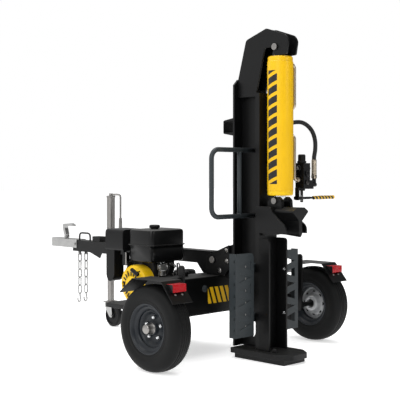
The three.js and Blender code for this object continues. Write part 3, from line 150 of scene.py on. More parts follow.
class Finish:
    """A Principled material; its constants are set on the shader and its patterns come through add()."""

    def __init__(self, name, colour, roughness, **constants):
        self.material = bpy.data.materials.new(name)
        self.material.use_nodes = True
        self.tree = self.material.node_tree
        self.shader = self.tree.nodes["Principled BSDF"]
        self.shader.inputs["Base Color"].default_value = (*colour, 1)
        self.shader.inputs["Roughness"].default_value = roughness
        for socket, value in constants.items():
            self.shader.inputs[socket.replace("_", " ")].default_value = value
        self.place = self.add("ShaderNodeTexCoord", "Object")

    def add(self, kind, output, settings=None, sockets=None):
        """One node: its settings first, then the values or links of its sockets. Returns an output."""
        node = self.tree.nodes.new(kind)
        for key, setting in (settings or {}).items():
            setattr(node, key, setting)
        for key, value in (sockets or {}).items():
            if isinstance(value, Value):
                self.tree.links.new(value.socket, node.inputs[key])
            else:
                node.inputs[key].default_value = value
        return Value(self, node.outputs[output])

    def noise(self, scale, detail=2.0):
        sockets = {"Vector": self.place, "Scale": scale, "Detail": detail}
        return self.add("ShaderNodeTexNoise", "Fac", {}, sockets)

    def along(self, axis):
        """The surface's X, Y or Z in metres."""
        return self.add("ShaderNodeSeparateXYZ", axis, {}, {0: self.place})

    def facing(self, axis):
        """How far the surface faces along X, Y or Z, from -1 to 1."""
        normal = self.add("ShaderNodeNewGeometry", "Normal")
        return self.add("ShaderNodeSeparateXYZ", axis, {}, {0: normal})

    def blend(self, share, first, second):
        """The first colour where share is 0 and the second where it is 1."""
        mixed = self.add("ShaderNodeMix", 2, {"data_type": "RGBA"}, {"Factor": share})
        inputs = mixed.socket.node.inputs
        for socket, colour in ((inputs[6], first), (inputs[7], second)):
            if isinstance(colour, Value):
                self.tree.links.new(colour.socket, socket)
            else:
                socket.default_value = (*colour, 1)
        return mixed

    def base(self):
        """The colour linked so far, for a pattern to be laid over."""
        return Value(self, self.shader.inputs["Base Color"].links[0].from_socket)

    def colour(self, value):
        self.tree.links.new(value.socket, self.shader.inputs["Base Color"])

    def roughness(self, value):
        self.tree.links.new(value.socket, self.shader.inputs["Roughness"])

    def relief(self, height, depth, strength=1.0):
        """Bumps of the given depth in metres."""
        sockets = {"Height": height, "Distance": depth, "Strength": strength}
        bump = self.add("ShaderNodeBump", "Normal", {}, sockets)
        self.tree.links.new(bump.socket, self.shader.inputs["Normal"])


def scaled(colour, factor):
    return tuple(channel * factor for channel in colour)


# ---------------------------------------------------------------- hydraulic hose
# Two-wire hose of 25 mm outside diameter with a smooth rubber cover. It leaves the elbow on the web, arches
# over beside the barrel and drops into its crimped end on the control valve.

AXLE_Y = -0.687
HOSE_DIAMETER = 0.025
HOSE_ROUTE = [
    (0.084, -0.100, 1.270),
    (0.094, -0.100, 1.270),
    (0.104, -0.100, 1.270),
    (0.136, -0.111, 1.282),
    (0.170, -0.134, 1.308),
    (0.208, -0.164, 1.333),
    (0.242, -0.198, 1.347),
    (0.274, -0.228, 1.345),
    (0.302, -0.252, 1.322),
    (0.320, -0.270, 1.286),
    (0.325, -0.282, 1.240),
    (0.318, -0.289, 1.192),
    (0.306, -0.291, 1.150),
    (0.304, -0.291, 1.138),
    (0.304, -0.291, 1.128),
]


def catmull(points, per_span):
    """Points on one smooth curve through the given points."""
    ends = [2 * points[0] - points[1], *points, 2 * points[-1] - points[-2]]
    line = []
    for a, b, c, d in zip(ends, ends[1:], ends[2:], ends[3:]):
        for step in range(per_span):
            t = step / per_span
            line.append(0.5 * (2 * b + (c - a) * t + (2 * a - 5 * b + 4 * c - d) * t * t
                               + (3 * b - a - 3 * c + d) * t ** 3))
    return [*line, points[-1]]


def circle(centre, side, other, radius, sides):
    """Points round a centre, in the plane of two unit vectors."""
    turns = [2 * math.pi * k / sides for k in range(sides)]
    return [centre + radius * (math.cos(a) * side + math.sin(a) * other) for a in turns]


def tube(name, line, radius, material, sides=24):
    """A capped round tube along points, as a mesh with a UV map: U round the tube, V along it in metres."""
    bm = bmesh.new()
    layer = bm.loops.layers.uv.new("along")
    side = (line[1] - line[0]).orthogonal().normalized()
    rings, travel, lengths = [], 0.0, []
    for i, point in enumerate(line):
        ahead = line[min(i + 1, len(line) - 1)]
        behind = line[max(i - 1, 0)]
        direction = (ahead - behind).normalized()
        side = (side - direction * side.dot(direction)).normalized()
        other = direction.cross(side)
        travel += (point - line[max(i - 1, 0)]).length
        lengths.append(travel)
        rings.append([bm.verts.new(spot) for spot in circle(point, side, other, radius, sides)])
    for i in range(len(rings) - 1):
        for k in range(sides):
            n = (k + 1) % sides
            face = bm.faces.new((rings[i][k], rings[i][n], rings[i + 1][n], rings[i + 1][k]))
            face.smooth = True
            corners = ((k, i), (k + 1, i), (k + 1, i + 1), (k, i + 1))
            for loop, (around, station) in zip(face.loops, corners):
                loop[layer].uv = (around / sides, lengths[station])
    bm.faces.new(list(reversed(rings[0])))
    bm.faces.new(rings[-1])
    return made(name, bm, material)


def made(name, bm, material):
    """Turns a bmesh into an object at the origin with one material."""
    bmesh.ops.recalc_face_normals(bm, faces=bm.faces[:])
    mesh = bpy.data.meshes.new(name)
    bm.to_mesh(mesh)
    bm.free()
    mesh.materials.append(material)
    piece = bpy.data.objects.new(name, mesh)
    scene.collection.objects.link(piece)
    return piece


def rubber(name, colour, roughness, grain, depth, shine=0.22):
    """Moulded rubber: a fine grain with a faint bloom in patches."""
    finish = Finish(name, colour, roughness, Specular_IOR_Level=shine)
    bloom = finish.noise(14, 4)
    finish.colour(finish.blend(bloom, scaled(colour, 0.8), scaled(colour, 1.35)))
    finish.roughness(roughness - 0.06 + bloom * 0.16)
    finish.relief(finish.noise(grain, 3), depth)
    return finish.material


hose_rubber = rubber("hose_rubber", (0.012, 0.0125, 0.0135), 0.5, 900, 0.0003)
hose_line = catmull([Vector((x, y + AXLE_Y, z)) for x, y, z in HOSE_ROUTE], 8)
hose = tube("pressure_hose", hose_line, HOSE_DIAMETER / 2, hose_rubber)
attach(hose, "beam")
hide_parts("hydraulic_hose")
hose_length = sum((b - a).length for a, b in zip(hose_line, hose_line[1:]))


# ---------------------------------------------------------------- paints and platings
# Powder coat on the steelwork, zinc on fasteners and fittings, hard chrome on the piston rod, paint and
# moulded plastic on the engine. The machine is new: its wear is only dust, clouded plating and uneven gloss.

def paint(name, colour, roughness, dust=0.06, peel=0.00012, **constants):
    """Powder coat: orange-peel relief, a gloss that wanders, and a little dust on what faces up.

    It returns the finish, so that a label can be laid over its colour.
    """
    finish = Finish(name, colour, roughness, **constants)
    cloud = finish.noise(5, 4)
    speck = finish.noise(260, 3)
    settled = (finish.facing("Z") > 0.7) * (cloud * 0.7 + speck * 0.5) * dust
    tone = finish.blend(cloud, scaled(colour, 0.93), scaled(colour, 1.07))
    finish.colour(finish.blend(settled, tone, (0.42, 0.41, 0.39)))
    finish.roughness(roughness - 0.05 + cloud * 0.06 + speck * 0.05 + settled)
    finish.relief(finish.noise(420, 2), peel, 0.6)
    return finish


def metal(name, colour, roughness, grain, depth):
    """Plated or bare metal: fine grain, clouded brightness and clouded gloss."""
    finish = Finish(name, colour, roughness, Metallic=1.0)
    cloud = finish.noise(22, 5)
    finish.colour(finish.blend(cloud, scaled(colour, 0.82), scaled(colour, 1.08)))
    finish.roughness(roughness - 0.07 + cloud * 0.16)
    finish.relief(finish.noise(grain, 3), depth, 0.5)
    return finish.material


black_paint = paint("black_paint", (0.0022, 0.0023, 0.0025), 0.38, Specular_IOR_Level=0.22).material
satin_black = paint("satin_black", (0.0030, 0.0031, 0.0033), 0.46, Specular_IOR_Level=0.18).material
grey_paint = paint("grey_paint", (0.023, 0.0285, 0.0315), 0.45, Specular_IOR_Level=0.25).material
yellow_paint = paint("yellow_paint", (0.72, 0.45, 0.003), 0.36, 0.03, Specular_IOR_Level=0.3).material
rim_paint = paint("rim_paint", (0.010, 0.0125, 0.016), 0.36, Specular_IOR_Level=0.25).material
silver_paint = paint("silver_paint", (0.42, 0.43, 0.44), 0.4, Metallic=0.35).material
zinc_plate = metal("zinc_plate", (0.27, 0.26, 0.25), 0.36, 500, 0.0001)
bright_zinc = metal("bright_zinc", (0.42, 0.42, 0.415), 0.38, 500, 0.0001)
warm_zinc = metal("warm_zinc", (0.42, 0.36, 0.28), 0.38, 500, 0.0001)
chrome_plate = metal("chrome_plate", (0.74, 0.75, 0.76), 0.10, 1400, 0.00001)
engine_alloy = metal("engine_alloy", (0.42, 0.42, 0.41), 0.5, 190, 0.0005)
engine_black = paint("engine_black", (0.011, 0.0112, 0.0115), 0.5, 0.05, 0.0004,
                     Specular_IOR_Level=0.3).material
tank_black = paint("tank_black", (0.0028, 0.0029, 0.0031), 0.30, 0.14, 0.0002,
                   Specular_IOR_Level=0.24).material
dark_oxide = metal("dark_oxide", (0.055, 0.052, 0.05), 0.45, 400, 0.0001)
black_plastic = rubber("black_plastic", (0.0042, 0.0044, 0.0047), 0.40, 700, 0.00015, 0.16)
tyre_rubber = rubber("tyre_rubber", (0.0034, 0.0036, 0.0037), 0.56, 520, 0.0004, 0.14)

# The tail lights: a waffled red lens in a black housing, which is whatever faces sideways.
LENS_WAFFLE = 2200
red = Finish("red_lens", (0.38, 0.002, 0.006), 0.22, Specular_IOR_Level=0.15)
across = (red.along("X") * LENS_WAFFLE).wave() * (red.along("Z") * LENS_WAFFLE).wave()
red.colour(red.blend(across * 0.5 + 0.5, (0.24, 0.001, 0.004), (0.46, 0.004, 0.010)))
red.relief(across, 0.0006, 0.5)
housing = red.facing("X").size() > 0.5
red.colour(red.blend(housing, red.base(), (0.006, 0.006, 0.0065)))
red_lens = red.material


# ---------------------------------------------------------------- welded steelwork
# Flame-cut plate, channel and box section, welded and powder coated: the beam, its foot, the cylinder tower,
# the tongue, the engine deck and the fenders. Each plate keeps its packed outline and gains rounded edges.

ON_AXIS = 1e-6
SAME_POINT = 2e-5
FLAT_ANGLE = math.radians(0.6)
FOLD_ANGLE = math.radians(35)


def declare(piece, body, slot, *nodes):
    """Binds a piece to its moving body; it stands in for the given nodes. The slot argument is not used."""
    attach(piece, body)
    if nodes:
        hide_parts(*nodes)
    return piece


def baked(source, name, material):
    """The source object with its modifiers run, as a plain object."""
    mesh = bpy.data.meshes.new_from_object(source.evaluated_get(bpy.context.evaluated_depsgraph_get()))
    bpy.data.objects.remove(source)
    mesh.name = name
    mesh.materials.clear()
    mesh.materials.append(material)
    piece = bpy.data.objects.new(name, mesh)
    scene.collection.objects.link(piece)
    return piece


def at(x, y, z):
    """A place given in millimetres from the axle's centre line, in the model's frame."""
    return Vector((x / 1000, y / 1000 + AXLE_Y, z / 1000))


def lathe(name, profile, centre, axis, material, steps=96, ring=False, sharp=30):
    """Turns (radius, distance along the axis) pairs about an axis; a ring's profile closes on itself."""
    bm = bmesh.new()
    direction = Vector(axis).normalized()
    side = direction.orthogonal().normalized()
    other = direction.cross(side)
    rows = []
    for radius, along in profile:
        middle = Vector(centre) + direction * along
        if radius < ON_AXIS:
            rows.append([bm.verts.new(middle)] * steps)
            continue
        rows.append([bm.verts.new(spot) for spot in circle(middle, side, other, radius, steps)])
    pairs = list(zip(rows, rows[1:]))
    if ring:
        pairs.append((rows[-1], rows[0]))
    for low, high in pairs:
        for k in range(steps):
            n = (k + 1) % steps
            corners = []
            for vert in (low[k], low[n], high[n], high[k]):
                if vert not in corners:
                    corners.append(vert)
            if len(corners) > 2:
                bm.faces.new(corners).smooth = True
    if not ring:
        for row in (rows[0], rows[-1]):
            if row[0] is not row[1]:
                bm.faces.new(row)
    for fold in bm.edges:
        fold.smooth = fold.calc_face_angle(0) < math.radians(sharp)
    return made(name, bm, material)


def joined(name, *pieces):
    """One object from several, each keeping its own material."""
    mesh = bpy.data.meshes.new(name)
    bm = bmesh.new()
    for index, piece in enumerate(pieces):
        start = len(bm.faces)
        bm.from_mesh(piece.data)
        bm.faces.ensure_lookup_table()
        for face in bm.faces[start:]:
            face.material_index = index
        mesh.materials.append(piece.data.materials[0])
        bpy.data.objects.remove(piece)
    bm.to_mesh(mesh)
    bm.free()
    whole = bpy.data.objects.new(name, mesh)
    scene.collection.objects.link(whole)
    return whole


def hexagon(name, centre, axis, across_flats, height, material):
    """A hex head or nut with its corners chamfered on both faces."""
    corner = across_flats / math.sqrt(3)
    flat = across_flats / 2
    return lathe(name, [(0, 0), (flat * 0.97, 0), (corner, height * 0.12), (corner, height * 0.88),
                        (flat * 0.97, height), (0, height)], centre, axis, material, 6, sharp=10)


def tree_for(name, inputs):
    """An empty geometry tree with named inputs, and its group input and output nodes."""
    tree = bpy.data.node_groups.new(name, "GeometryNodeTree")
    tree.interface.new_socket("Geometry", in_out="INPUT", socket_type="NodeSocketGeometry")
    tree.interface.new_socket("Geometry", in_out="OUTPUT", socket_type="NodeSocketGeometry")
    for label, kind in inputs:
        tree.interface.new_socket(label, in_out="INPUT", socket_type=kind)
    return tree, tree.nodes.new("NodeGroupInput"), tree.nodes.new("NodeGroupOutput")


def ring_tree():
    """Copies of a part at equal turns about an axis through the host's only point."""
    tree, given, result = tree_for("ring_of_parts", [
        ("Part", "NodeSocketObject"), ("Count", "NodeSocketInt"), ("Axis", "NodeSocketVector"),
        ("Centre", "NodeSocketVector"), ("Finish", "NodeSocketMaterial")])
    link = tree.links.new
    line = tree.nodes.new("GeometryNodeMeshLine")
    line.mode = "OFFSET"
    line.inputs["Offset"].default_value = (0, 0, 0)
    link(given.outputs["Count"], line.inputs["Count"])
    link(given.outputs["Centre"], line.inputs["Start Location"])
    part = tree.nodes.new("GeometryNodeObjectInfo")
    link(given.outputs["Part"], part.inputs["Object"])
    share = tree.nodes.new("ShaderNodeMath")
    share.operation = "DIVIDE"
    share.inputs[0].default_value = 2 * math.pi
    link(given.outputs["Count"], share.inputs[1])
    angle = tree.nodes.new("ShaderNodeMath")
    angle.operation = "MULTIPLY"
    link(tree.nodes.new("GeometryNodeInputIndex").outputs[0], angle.inputs[0])
    link(share.outputs[0], angle.inputs[1])
    spin = tree.nodes.new("FunctionNodeAxisAngleToRotation")
    link(given.outputs["Axis"], spin.inputs["Axis"])
    link(angle.outputs[0], spin.inputs["Angle"])
    copies = tree.nodes.new("GeometryNodeInstanceOnPoints")
    link(line.outputs[0], copies.inputs["Points"])
    link(part.outputs["Geometry"], copies.inputs["Instance"])
    link(spin.outputs[0], copies.inputs["Rotation"])
    solid = tree.nodes.new("GeometryNodeRealizeInstances")
    link(copies.outputs[0], solid.inputs[0])
    painted = tree.nodes.new("GeometryNodeSetMaterial")
    link(solid.outputs[0], painted.inputs["Geometry"])
    link(given.outputs["Finish"], painted.inputs["Material"])
    link(painted.outputs[0], result.inputs["Geometry"])
    return tree


def run_tree(host, tree, values, name, material):
    """Runs a tree on a host with the given inputs, and returns what it makes as a plain object."""
    modifier = host.modifiers.new("tree", "NODES")
    modifier.node_group = tree
    for item in tree.interface.items_tree:
        if item.in_out == "INPUT" and item.name in values:
            modifier[item.identifier] = values[item.name]
    return baked(host, name, material)


RING = ring_tree()


def ring_of(name, part, count, axis, centre, material):
    """A part drawn about the origin, repeated round an axis at a centre, as one plain mesh."""
    host = bpy.data.objects.new(name + "_host", bpy.data.meshes.new(name + "_host"))
    scene.collection.objects.link(host)
    values = {"Part": part, "Count": count, "Axis": axis, "Centre": centre, "Finish": material}
    piece = run_tree(host, RING, values, name, material)
    bpy.data.objects.remove(part)
    return piece


def block(name, low, high, material, edge=0.0):
    """A box between two corners, its edges rounded."""
    bm = bmesh.new()
    bmesh.ops.create_cube(bm, size=1)
    size = Vector(high) - Vector(low)
    middle = (Vector(high) + Vector(low)) / 2
    stretch = Matrix.Translation(middle) @ Matrix.Diagonal((*size, 1))
    bmesh.ops.transform(bm, matrix=stretch, verts=bm.verts[:])
    if edge:
        bmesh.ops.bevel(bm, geom=bm.edges[:], offset=edge, segments=2, profile=0.5, affect="EDGES",
                        clamp_overlap=True)
    return made(name, bm, material)


def placed_tree():
    """Copies of a part at the host's points, each turned as its point's own vector says."""
    tree, given, result = tree_for("parts_at_points", [
        ("Part", "NodeSocketObject"), ("Finish", "NodeSocketMaterial")])
    link = tree.links.new
    part = tree.nodes.new("GeometryNodeObjectInfo")
    link(given.outputs["Part"], part.inputs["Object"])
    facing = tree.nodes.new("GeometryNodeInputNamedAttribute")
    facing.data_type = "FLOAT_VECTOR"
    facing.inputs["Name"].default_value = "facing"
    turn = tree.nodes.new("FunctionNodeAlignRotationToVector")
    turn.axis = "Z"
    link(facing.outputs[0], turn.inputs["Vector"])
    copies = tree.nodes.new("GeometryNodeInstanceOnPoints")
    link(given.outputs["Geometry"], copies.inputs["Points"])
    link(part.outputs["Geometry"], copies.inputs["Instance"])
    link(turn.outputs[0], copies.inputs["Rotation"])
    solid = tree.nodes.new("GeometryNodeRealizeInstances")
    link(copies.outputs[0], solid.inputs[0])
    painted = tree.nodes.new("GeometryNodeSetMaterial")
    link(solid.outputs[0], painted.inputs["Geometry"])
    link(given.outputs["Finish"], painted.inputs["Material"])
    link(painted.outputs[0], result.inputs["Geometry"])
    return tree


PLACED = placed_tree()


def placed(name, part, spots, material):
    """A part drawn at the origin with its top along +Z, repeated at (place, direction) spots."""
    mesh = bpy.data.meshes.new(name + "_host")
    mesh.from_pydata([tuple(place) for place, _ in spots], [], [])
    facing = mesh.attributes.new("facing", "FLOAT_VECTOR", "POINT")
    for item, (_, direction) in zip(facing.data, spots):
        item.vector = direction
    host = bpy.data.objects.new(name + "_host", mesh)
    scene.collection.objects.link(host)
    piece = run_tree(host, PLACED, {"Part": part, "Finish": material}, name, material)
    bpy.data.objects.remove(part)
    return piece


def bolt(name, across_flats, material):
    """A flanged hex bolt head with its washer, drawn at the origin along +Z."""
    rim = across_flats * 0.84
    thick = across_flats * 0.1
    section = [(0, 0), (rim, 0), (rim, thick), (0, thick)]
    washer = lathe("washer", section, (0, 0, 0), (0, 0, 1), material, 32)
    head = hexagon("head", (0, 0, thick), (0, 0, 1), across_flats, across_flats * 0.42, material)
    return joined(name, washer, head)


def finished(node, material, body, slot, edge=0.0012, added=()):
    """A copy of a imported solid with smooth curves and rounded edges, which takes the solid's place."""
    bm = bmesh.new()
    bm.from_mesh(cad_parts[node].data)
    bmesh.ops.remove_doubles(bm, verts=bm.verts[:], dist=SAME_POINT)
    bmesh.ops.dissolve_limit(bm, angle_limit=FLAT_ANGLE, verts=bm.verts[:], edges=bm.edges[:])
    for face in bm.faces:
        face.smooth = True
    for rim_edge in bm.edges:
        rim_edge.smooth = rim_edge.calc_face_angle(math.pi) < FOLD_ANGLE
    mesh = bpy.data.meshes.new(node)
    bm.to_mesh(mesh)
    bm.free()
    source = bpy.data.objects.new(node + "_source", mesh)
    scene.collection.objects.link(source)
    bevel = source.modifiers.new("edges", "BEVEL")
    bevel.width = edge
    bevel.segments = 2
    bevel.limit_method = "ANGLE"
    bevel.angle_limit = FOLD_ANGLE
    bevel.harden_normals = True
    piece = baked(source, node + "_finished", material)
    if added:
        piece = joined(node + "_finished", piece, *added)
    return declare(piece, body, slot, node)


for node in ("beam", "foot", "cylinder_tower", "tongue_rest", "beam_bracket", "bulkhead_elbow"):
    finished(node, black_paint, "beam", "black_paint", 0.0018)
for node in ("guide_rail_left", "guide_rail_right"):
    finished(node, satin_black, "beam", "black_paint")
for node in ("tongue", "engine_deck", "tilt_bracket", "jack_mount"):
    finished(node, black_paint, "chassis", "black_paint")
for node in ("fender_left", "fender_right", "stub_axle_left", "stub_axle_right"):
    finished(node, black_paint, "chassis", "black_paint")
finished("log_catcher_right", grey_paint, "beam", "grey_paint", 0.0008)

# The left catcher has a thin backing plate and a column of small bare marks up the middle of its face.
backing = block("backing", at(-262, -197, 154), at(-121, -194.5, 601), grey_paint)
finished("log_catcher_left", grey_paint, "beam", "grey_paint", 0.0008, added=[backing])
punch = lathe("punch", [(0, -0.001), (0.006, -0.001), (0.006, 0.0012), (0, 0.0012)], (0, 0, 0), (0, 0, 1),
              zinc_plate, 16)
for vert in punch.data.vertices:
    vert.co.x *= 0.55
marks = placed("catcher_marks", punch, [
    (at(-185, -197.4, 205 + k * 33), (0, -1, 0)) for k in range(12)], zinc_plate)
declare(marks, "beam", "zinc_plate")

# Hex bolts with washers: on the tilt bracket, through the guide rails and at each tail light.
bracket_bolts = placed("bracket_bolts", bolt("bolt", 0.016, zinc_plate), [
    (at(-90, 35, 543), (-1, 0, 0)), (at(-90, 92, 485), (-1, 0, 0)), (at(90, 92, 485), (1, 0, 0)),
    (at(-90, 40, 605), (-1, 0, 0))], zinc_plate)
declare(bracket_bolts, "chassis", "zinc_plate")
rail_bolts = placed("rail_bolts", bolt("bolt", 0.013, chrome_plate), [
    (at(side * 67.9, -258, z), (-side, 0, 0)) for side in (-1, 1) for z in (260, 511)], chrome_plate)
declare(rail_bolts, "beam", "zinc_plate")
light_bolts = placed("light_bolts", bolt("bolt", 0.009, zinc_plate), [
    (at(side * x, -172.5, 425), (0, -0.771, 0.636)) for side in (-1, 1) for x in (648, 698)], zinc_plate)
declare(light_bolts, "chassis", "zinc_plate")

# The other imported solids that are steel, zinc or lens all over, each on the body it moves with.
finished("wedge", black_paint, "ram", "black_paint", 0.0016)
finished("coupler", bright_zinc, "chassis", "zinc_plate")
finished("coupler_latch", bright_zinc, "latch", "zinc_plate")
finished("valve_body", satin_black, "beam", "black_paint", 0.002)
finished("cylinder_pin", zinc_plate, "beam", "zinc_plate")
finished("rod_pin", zinc_plate, "ram", "zinc_plate")
finished("tilt_pin", zinc_plate, "chassis", "zinc_plate")
finished("lock_pin", zinc_plate, "lock_plunger", "zinc_plate")
finished("valve_spool", dark_oxide, "spool", "chrome_plate", 0.0006)
finished("valve_lever", satin_black, "valve_handle", "black_paint", 0.0008)
for node in ("tail_light_left", "tail_light_right"):
    finished(node, red_lens, "chassis", "red_lens")
finished("drive_coupling", engine_alloy, "crankshaft", "engine_alloy")
finished("filler_breather", black_plastic, "breather", "black_plastic")


# ---------------------------------------------------------------- oil tank
# Folded 3 mm sheet tank across the axle, welded all round. Its label is a block of slanted yellow bars.

tank = paint("tank_paint", (0.0016, 0.0017, 0.0018), 0.38, Specular_IOR_Level=0.22)
LABEL_LEFT, LABEL_RIGHT = -0.178, -0.004
LABEL_LOW, LABEL_HIGH = 0.300, 0.394
inside = ((tank.along("X") > LABEL_LEFT) * (tank.along("X") < LABEL_RIGHT)
          * (tank.along("Z") > LABEL_LOW) * (tank.along("Z") < LABEL_HIGH) * (tank.facing("Y") < -0.9))
slanted = ((tank.along("X") + tank.along("Z") * 0.35) * 24).part() > 0.36
tank.colour(tank.blend(inside * slanted, tank.base(), (0.80, 0.47, 0.01)))
finished("hydraulic_tank", tank.material, "chassis", "black_paint", 0.003)
plugs = placed("tank_plugs", bolt("plug", 0.024, grey_paint),
               [(at(side * 205, 100, 390), (0, -1, 0)) for side in (-1, 1)], grey_paint)
declare(plugs, "chassis", "grey_paint")


# ---------------------------------------------------------------- hydraulic cylinder
# Honed 5-inch tube in gloss yellow with a screwed gland below, a dark cap and clevis above and a chrome rod.
# It hangs on the tower's pin. Its label is a column of slanted dark bars that runs up the side.

BARREL_Y = -0.291 + AXLE_Y
CAP_FOOT = 1.7015
barrel = paint("barrel_paint", (0.68, 0.40, 0.0015), 0.34, 0.02, Specular_IOR_Level=0.3)
offset = barrel.along("Y") - BARREL_Y
span = (offset.size() < 0.031) * (barrel.along("X") < 0)
bars = ((barrel.along("Z") + offset * 0.45) * 17).part() > 0.34
tall = (barrel.along("Z") > 0.99) * (barrel.along("Z") < 1.62)
labelled = barrel.blend(span * bars * tall, barrel.base(), (0.012, 0.012, 0.013))
barrel.colour(barrel.blend(barrel.along("Z") > CAP_FOOT, labelled, (0.010, 0.0105, 0.011)))
finished("cylinder_barrel", barrel.material, "beam", "yellow_paint", 0.0015)
finished("cylinder_gland", yellow_paint, "beam", "yellow_paint", 0.001)
finished("piston_rod", chrome_plate, "ram", "chrome_plate", 0.0008)


# ---------------------------------------------------------------- pipe, valve fittings and tilt handle
# Bent steel tube: the zinc-plated pipe from the cylinder's upper port to the valve with a hex nut at each
# end, and the round-tube loop welded to the web that tips the beam. Between them sit the crimped end of the
# hose and the valve's plugs, both screwed into the valve.

def bend(points, radius, steps=10):
    """A line through points with each corner rounded to a radius in metres."""
    line = [points[0]]
    for before, corner, after in zip(points, points[1:], points[2:]):
        back, ahead = (before - corner).normalized(), (after - corner).normalized()
        half = back.angle(ahead) / 2
        reach = min(radius / math.tan(half), (before - corner).length * 0.49, (after - corner).length * 0.49)
        turn_radius = reach * math.tan(half)
        centre = corner + (back + ahead).normalized() * (reach / math.cos(half))
        first = (corner + back * reach - centre).normalized()
        last = (corner + ahead * reach - centre).normalized()
        line += [centre + first.slerp(last, k / steps).normalized() * turn_radius for k in range(steps + 1)]
    return [*line, points[-1]]


def bar(name, points, radius, material, bend_radius=0.0, sides=28):
    """A round bar or tube along millimetre places, with rounded corners."""
    line = [at(*p) for p in points]
    if bend_radius and len(line) > 2:
        line = bend(line, bend_radius)
    return tube(name, line, radius, material, sides)


def weld(name, centre, axis, radius, material, bead=0.0035):
    """A fillet bead round a tube: a ring whose ripples are the material's relief."""
    profile = [(radius - 0.002 + bead * math.cos(a), bead * math.sin(a)) for a in
               [2 * math.pi * k / 10 for k in range(10)]]
    return lathe(name, profile, centre, axis, material, 48, ring=True, sharp=80)


pipe = joined(
    "port_pipe_bent",
    bar("pipe", [(84.3, -291, 1660), (124, -291, 1660), (124, -291, 1430), (124, -245, 1390),
                 (124, -245, 1290), (124, -291, 1250), (124, -291, 1012), (168.7, -291, 1012)],
        0.0095, warm_zinc, 0.018),
    hexagon("upper_nut", at(86, -291, 1660), (1, 0, 0), 0.027, 0.021, warm_zinc),
    hexagon("lower_nut", at(146, -291, 1012), (1, 0, 0), 0.027, 0.021, warm_zinc),
    lathe("upper_sleeve", [(0, 0), (0.0125, 0), (0.0122, 0.006), (0.0098, 0.009), (0, 0.009)],
          at(107, -291, 1660), (1, 0, 0), warm_zinc, 32),
)
declare(pipe, "beam", "zinc_plate", "port_pipe")

RIDGE_PITCH = 0.009
ridges = []
for k in range(9):
    start = k * RIDGE_PITCH
    ridges += [(0.0154, 0.006 + start), (0.0154, 0.011 + start), (0.0147, 0.0122 + start),
               (0.0147, 0.0138 + start)]
crimp = joined(
    "hose_crimp",
    lathe("ferrule", [(0.0131, 0.002), (0.0148, 0.002), *ridges, (0.0154, 0.0885), (0.0150, 0.0902),
                      (0.0131, 0.0902)], at(304, -291, 1038), (0, 0, 1), warm_zinc, 48, ring=True),
    hexagon("swivel_nut", at(304, -291, 1019), (0, 0, 1), 0.0305, 0.021, warm_zinc),
)
declare(crimp, "beam", "zinc_plate")

valve_plugs = joined(
    "valve_plugs",
    hexagon("relief_cap", at(170, -291, 1078), (-1, 0, 0), 0.030, 0.016, satin_black),
    hexagon("relief_screw", at(155, -291, 1078), (-1, 0, 0), 0.017, 0.010, zinc_plate),
    hexagon("front_plug", at(200, -321, 1046), (0, -1, 0), 0.030, 0.010, satin_black),
    hexagon("lower_plug", at(200, -321, 996), (0, -1, 0), 0.024, 0.008, dark_oxide),
    hexagon("detent_nut", at(190, -291, 1108), (0, 0, 1), 0.050, 0.012, satin_black),
    hexagon("side_plug", at(229, -291, 1070), (1, 0, 0), 0.028, 0.012, dark_oxide),
)
declare(valve_plugs, "beam", "black_paint")

loop = joined(
    "tilt_handle_tube",
    bar("loop", [(-6.3, -100, 1181), (-355, -100, 1181), (-355, -100, 809), (-6.3, -100, 809)], 0.0135,
        grey_paint, 0.052),
    bar("brace", [(-129, -100, 1176), (-129, -100, 814)], 0.0125, grey_paint),
    weld("upper_weld", at(-8.5, -100, 1181), (1, 0, 0), 0.0135, black_paint),
    weld("lower_weld", at(-8.5, -100, 809), (1, 0, 0), 0.0135, black_paint),
    weld("brace_top", at(-129, -100, 1166.5), (0, 0, 1), 0.0125, grey_paint, 0.003),
    weld("brace_foot", at(-129, -100, 823.5), (0, 0, 1), 0.0125, grey_paint, 0.003),
)
declare(loop, "beam", "grey_paint", "tilt_handle")

# The lever's moulded grip: yellow, with two dark stripes that wind along it and a plain end.
LEVER_HEIGHT = 0.908
grip_finish = Finish("grip_stripes", (0.7, 0.42, 0.01), 0.5)
sideways = grip_finish.along("Y") - BARREL_Y
turn = sideways.turn_from(grip_finish.along("Z") - LEVER_HEIGHT) / (2 * math.pi)
stripe = (turn * 2 + grip_finish.along("X") * 34).part() > 0.66
stripe = stripe + (grip_finish.along("X") > 0.478)
grip_finish.colour(grip_finish.blend(stripe, (0.012, 0.012, 0.013), (0.74, 0.43, 0.008)))
grip_finish.relief(grip_finish.noise(600, 3), 0.0003)
grip_profile = [(0.0061, 0.001), (0.0098, 0.001), (0.0112, 0.004), (0.0098, 0.012), (0.0106, 0.03),
                (0.0114, 0.07), (0.0110, 0.12), (0.0104, 0.165), (0.0112, 0.180), (0.0118, 0.187),
                (0.0108, 0.1955), (0.006, 0.1978), (0, 0.198), (0, 0.17), (0.0061, 0.17)]
grip = lathe("lever_grip_moulded", grip_profile, at(294, -291, 908), (1, 0, 0), grip_finish.material, 48,
             ring=True, sharp=50)
declare(grip, "valve_handle", "yellow_paint", "lever_grip")


# ---------------------------------------------------------------- wheels
# 5.70-8 trailer tyres with four grooves round the tread, on pressed steel rims. Each rim has a ring of round
# slots and is held by five nuts, with a pressed grease cap over the hub. Profiles give (radius, way out).

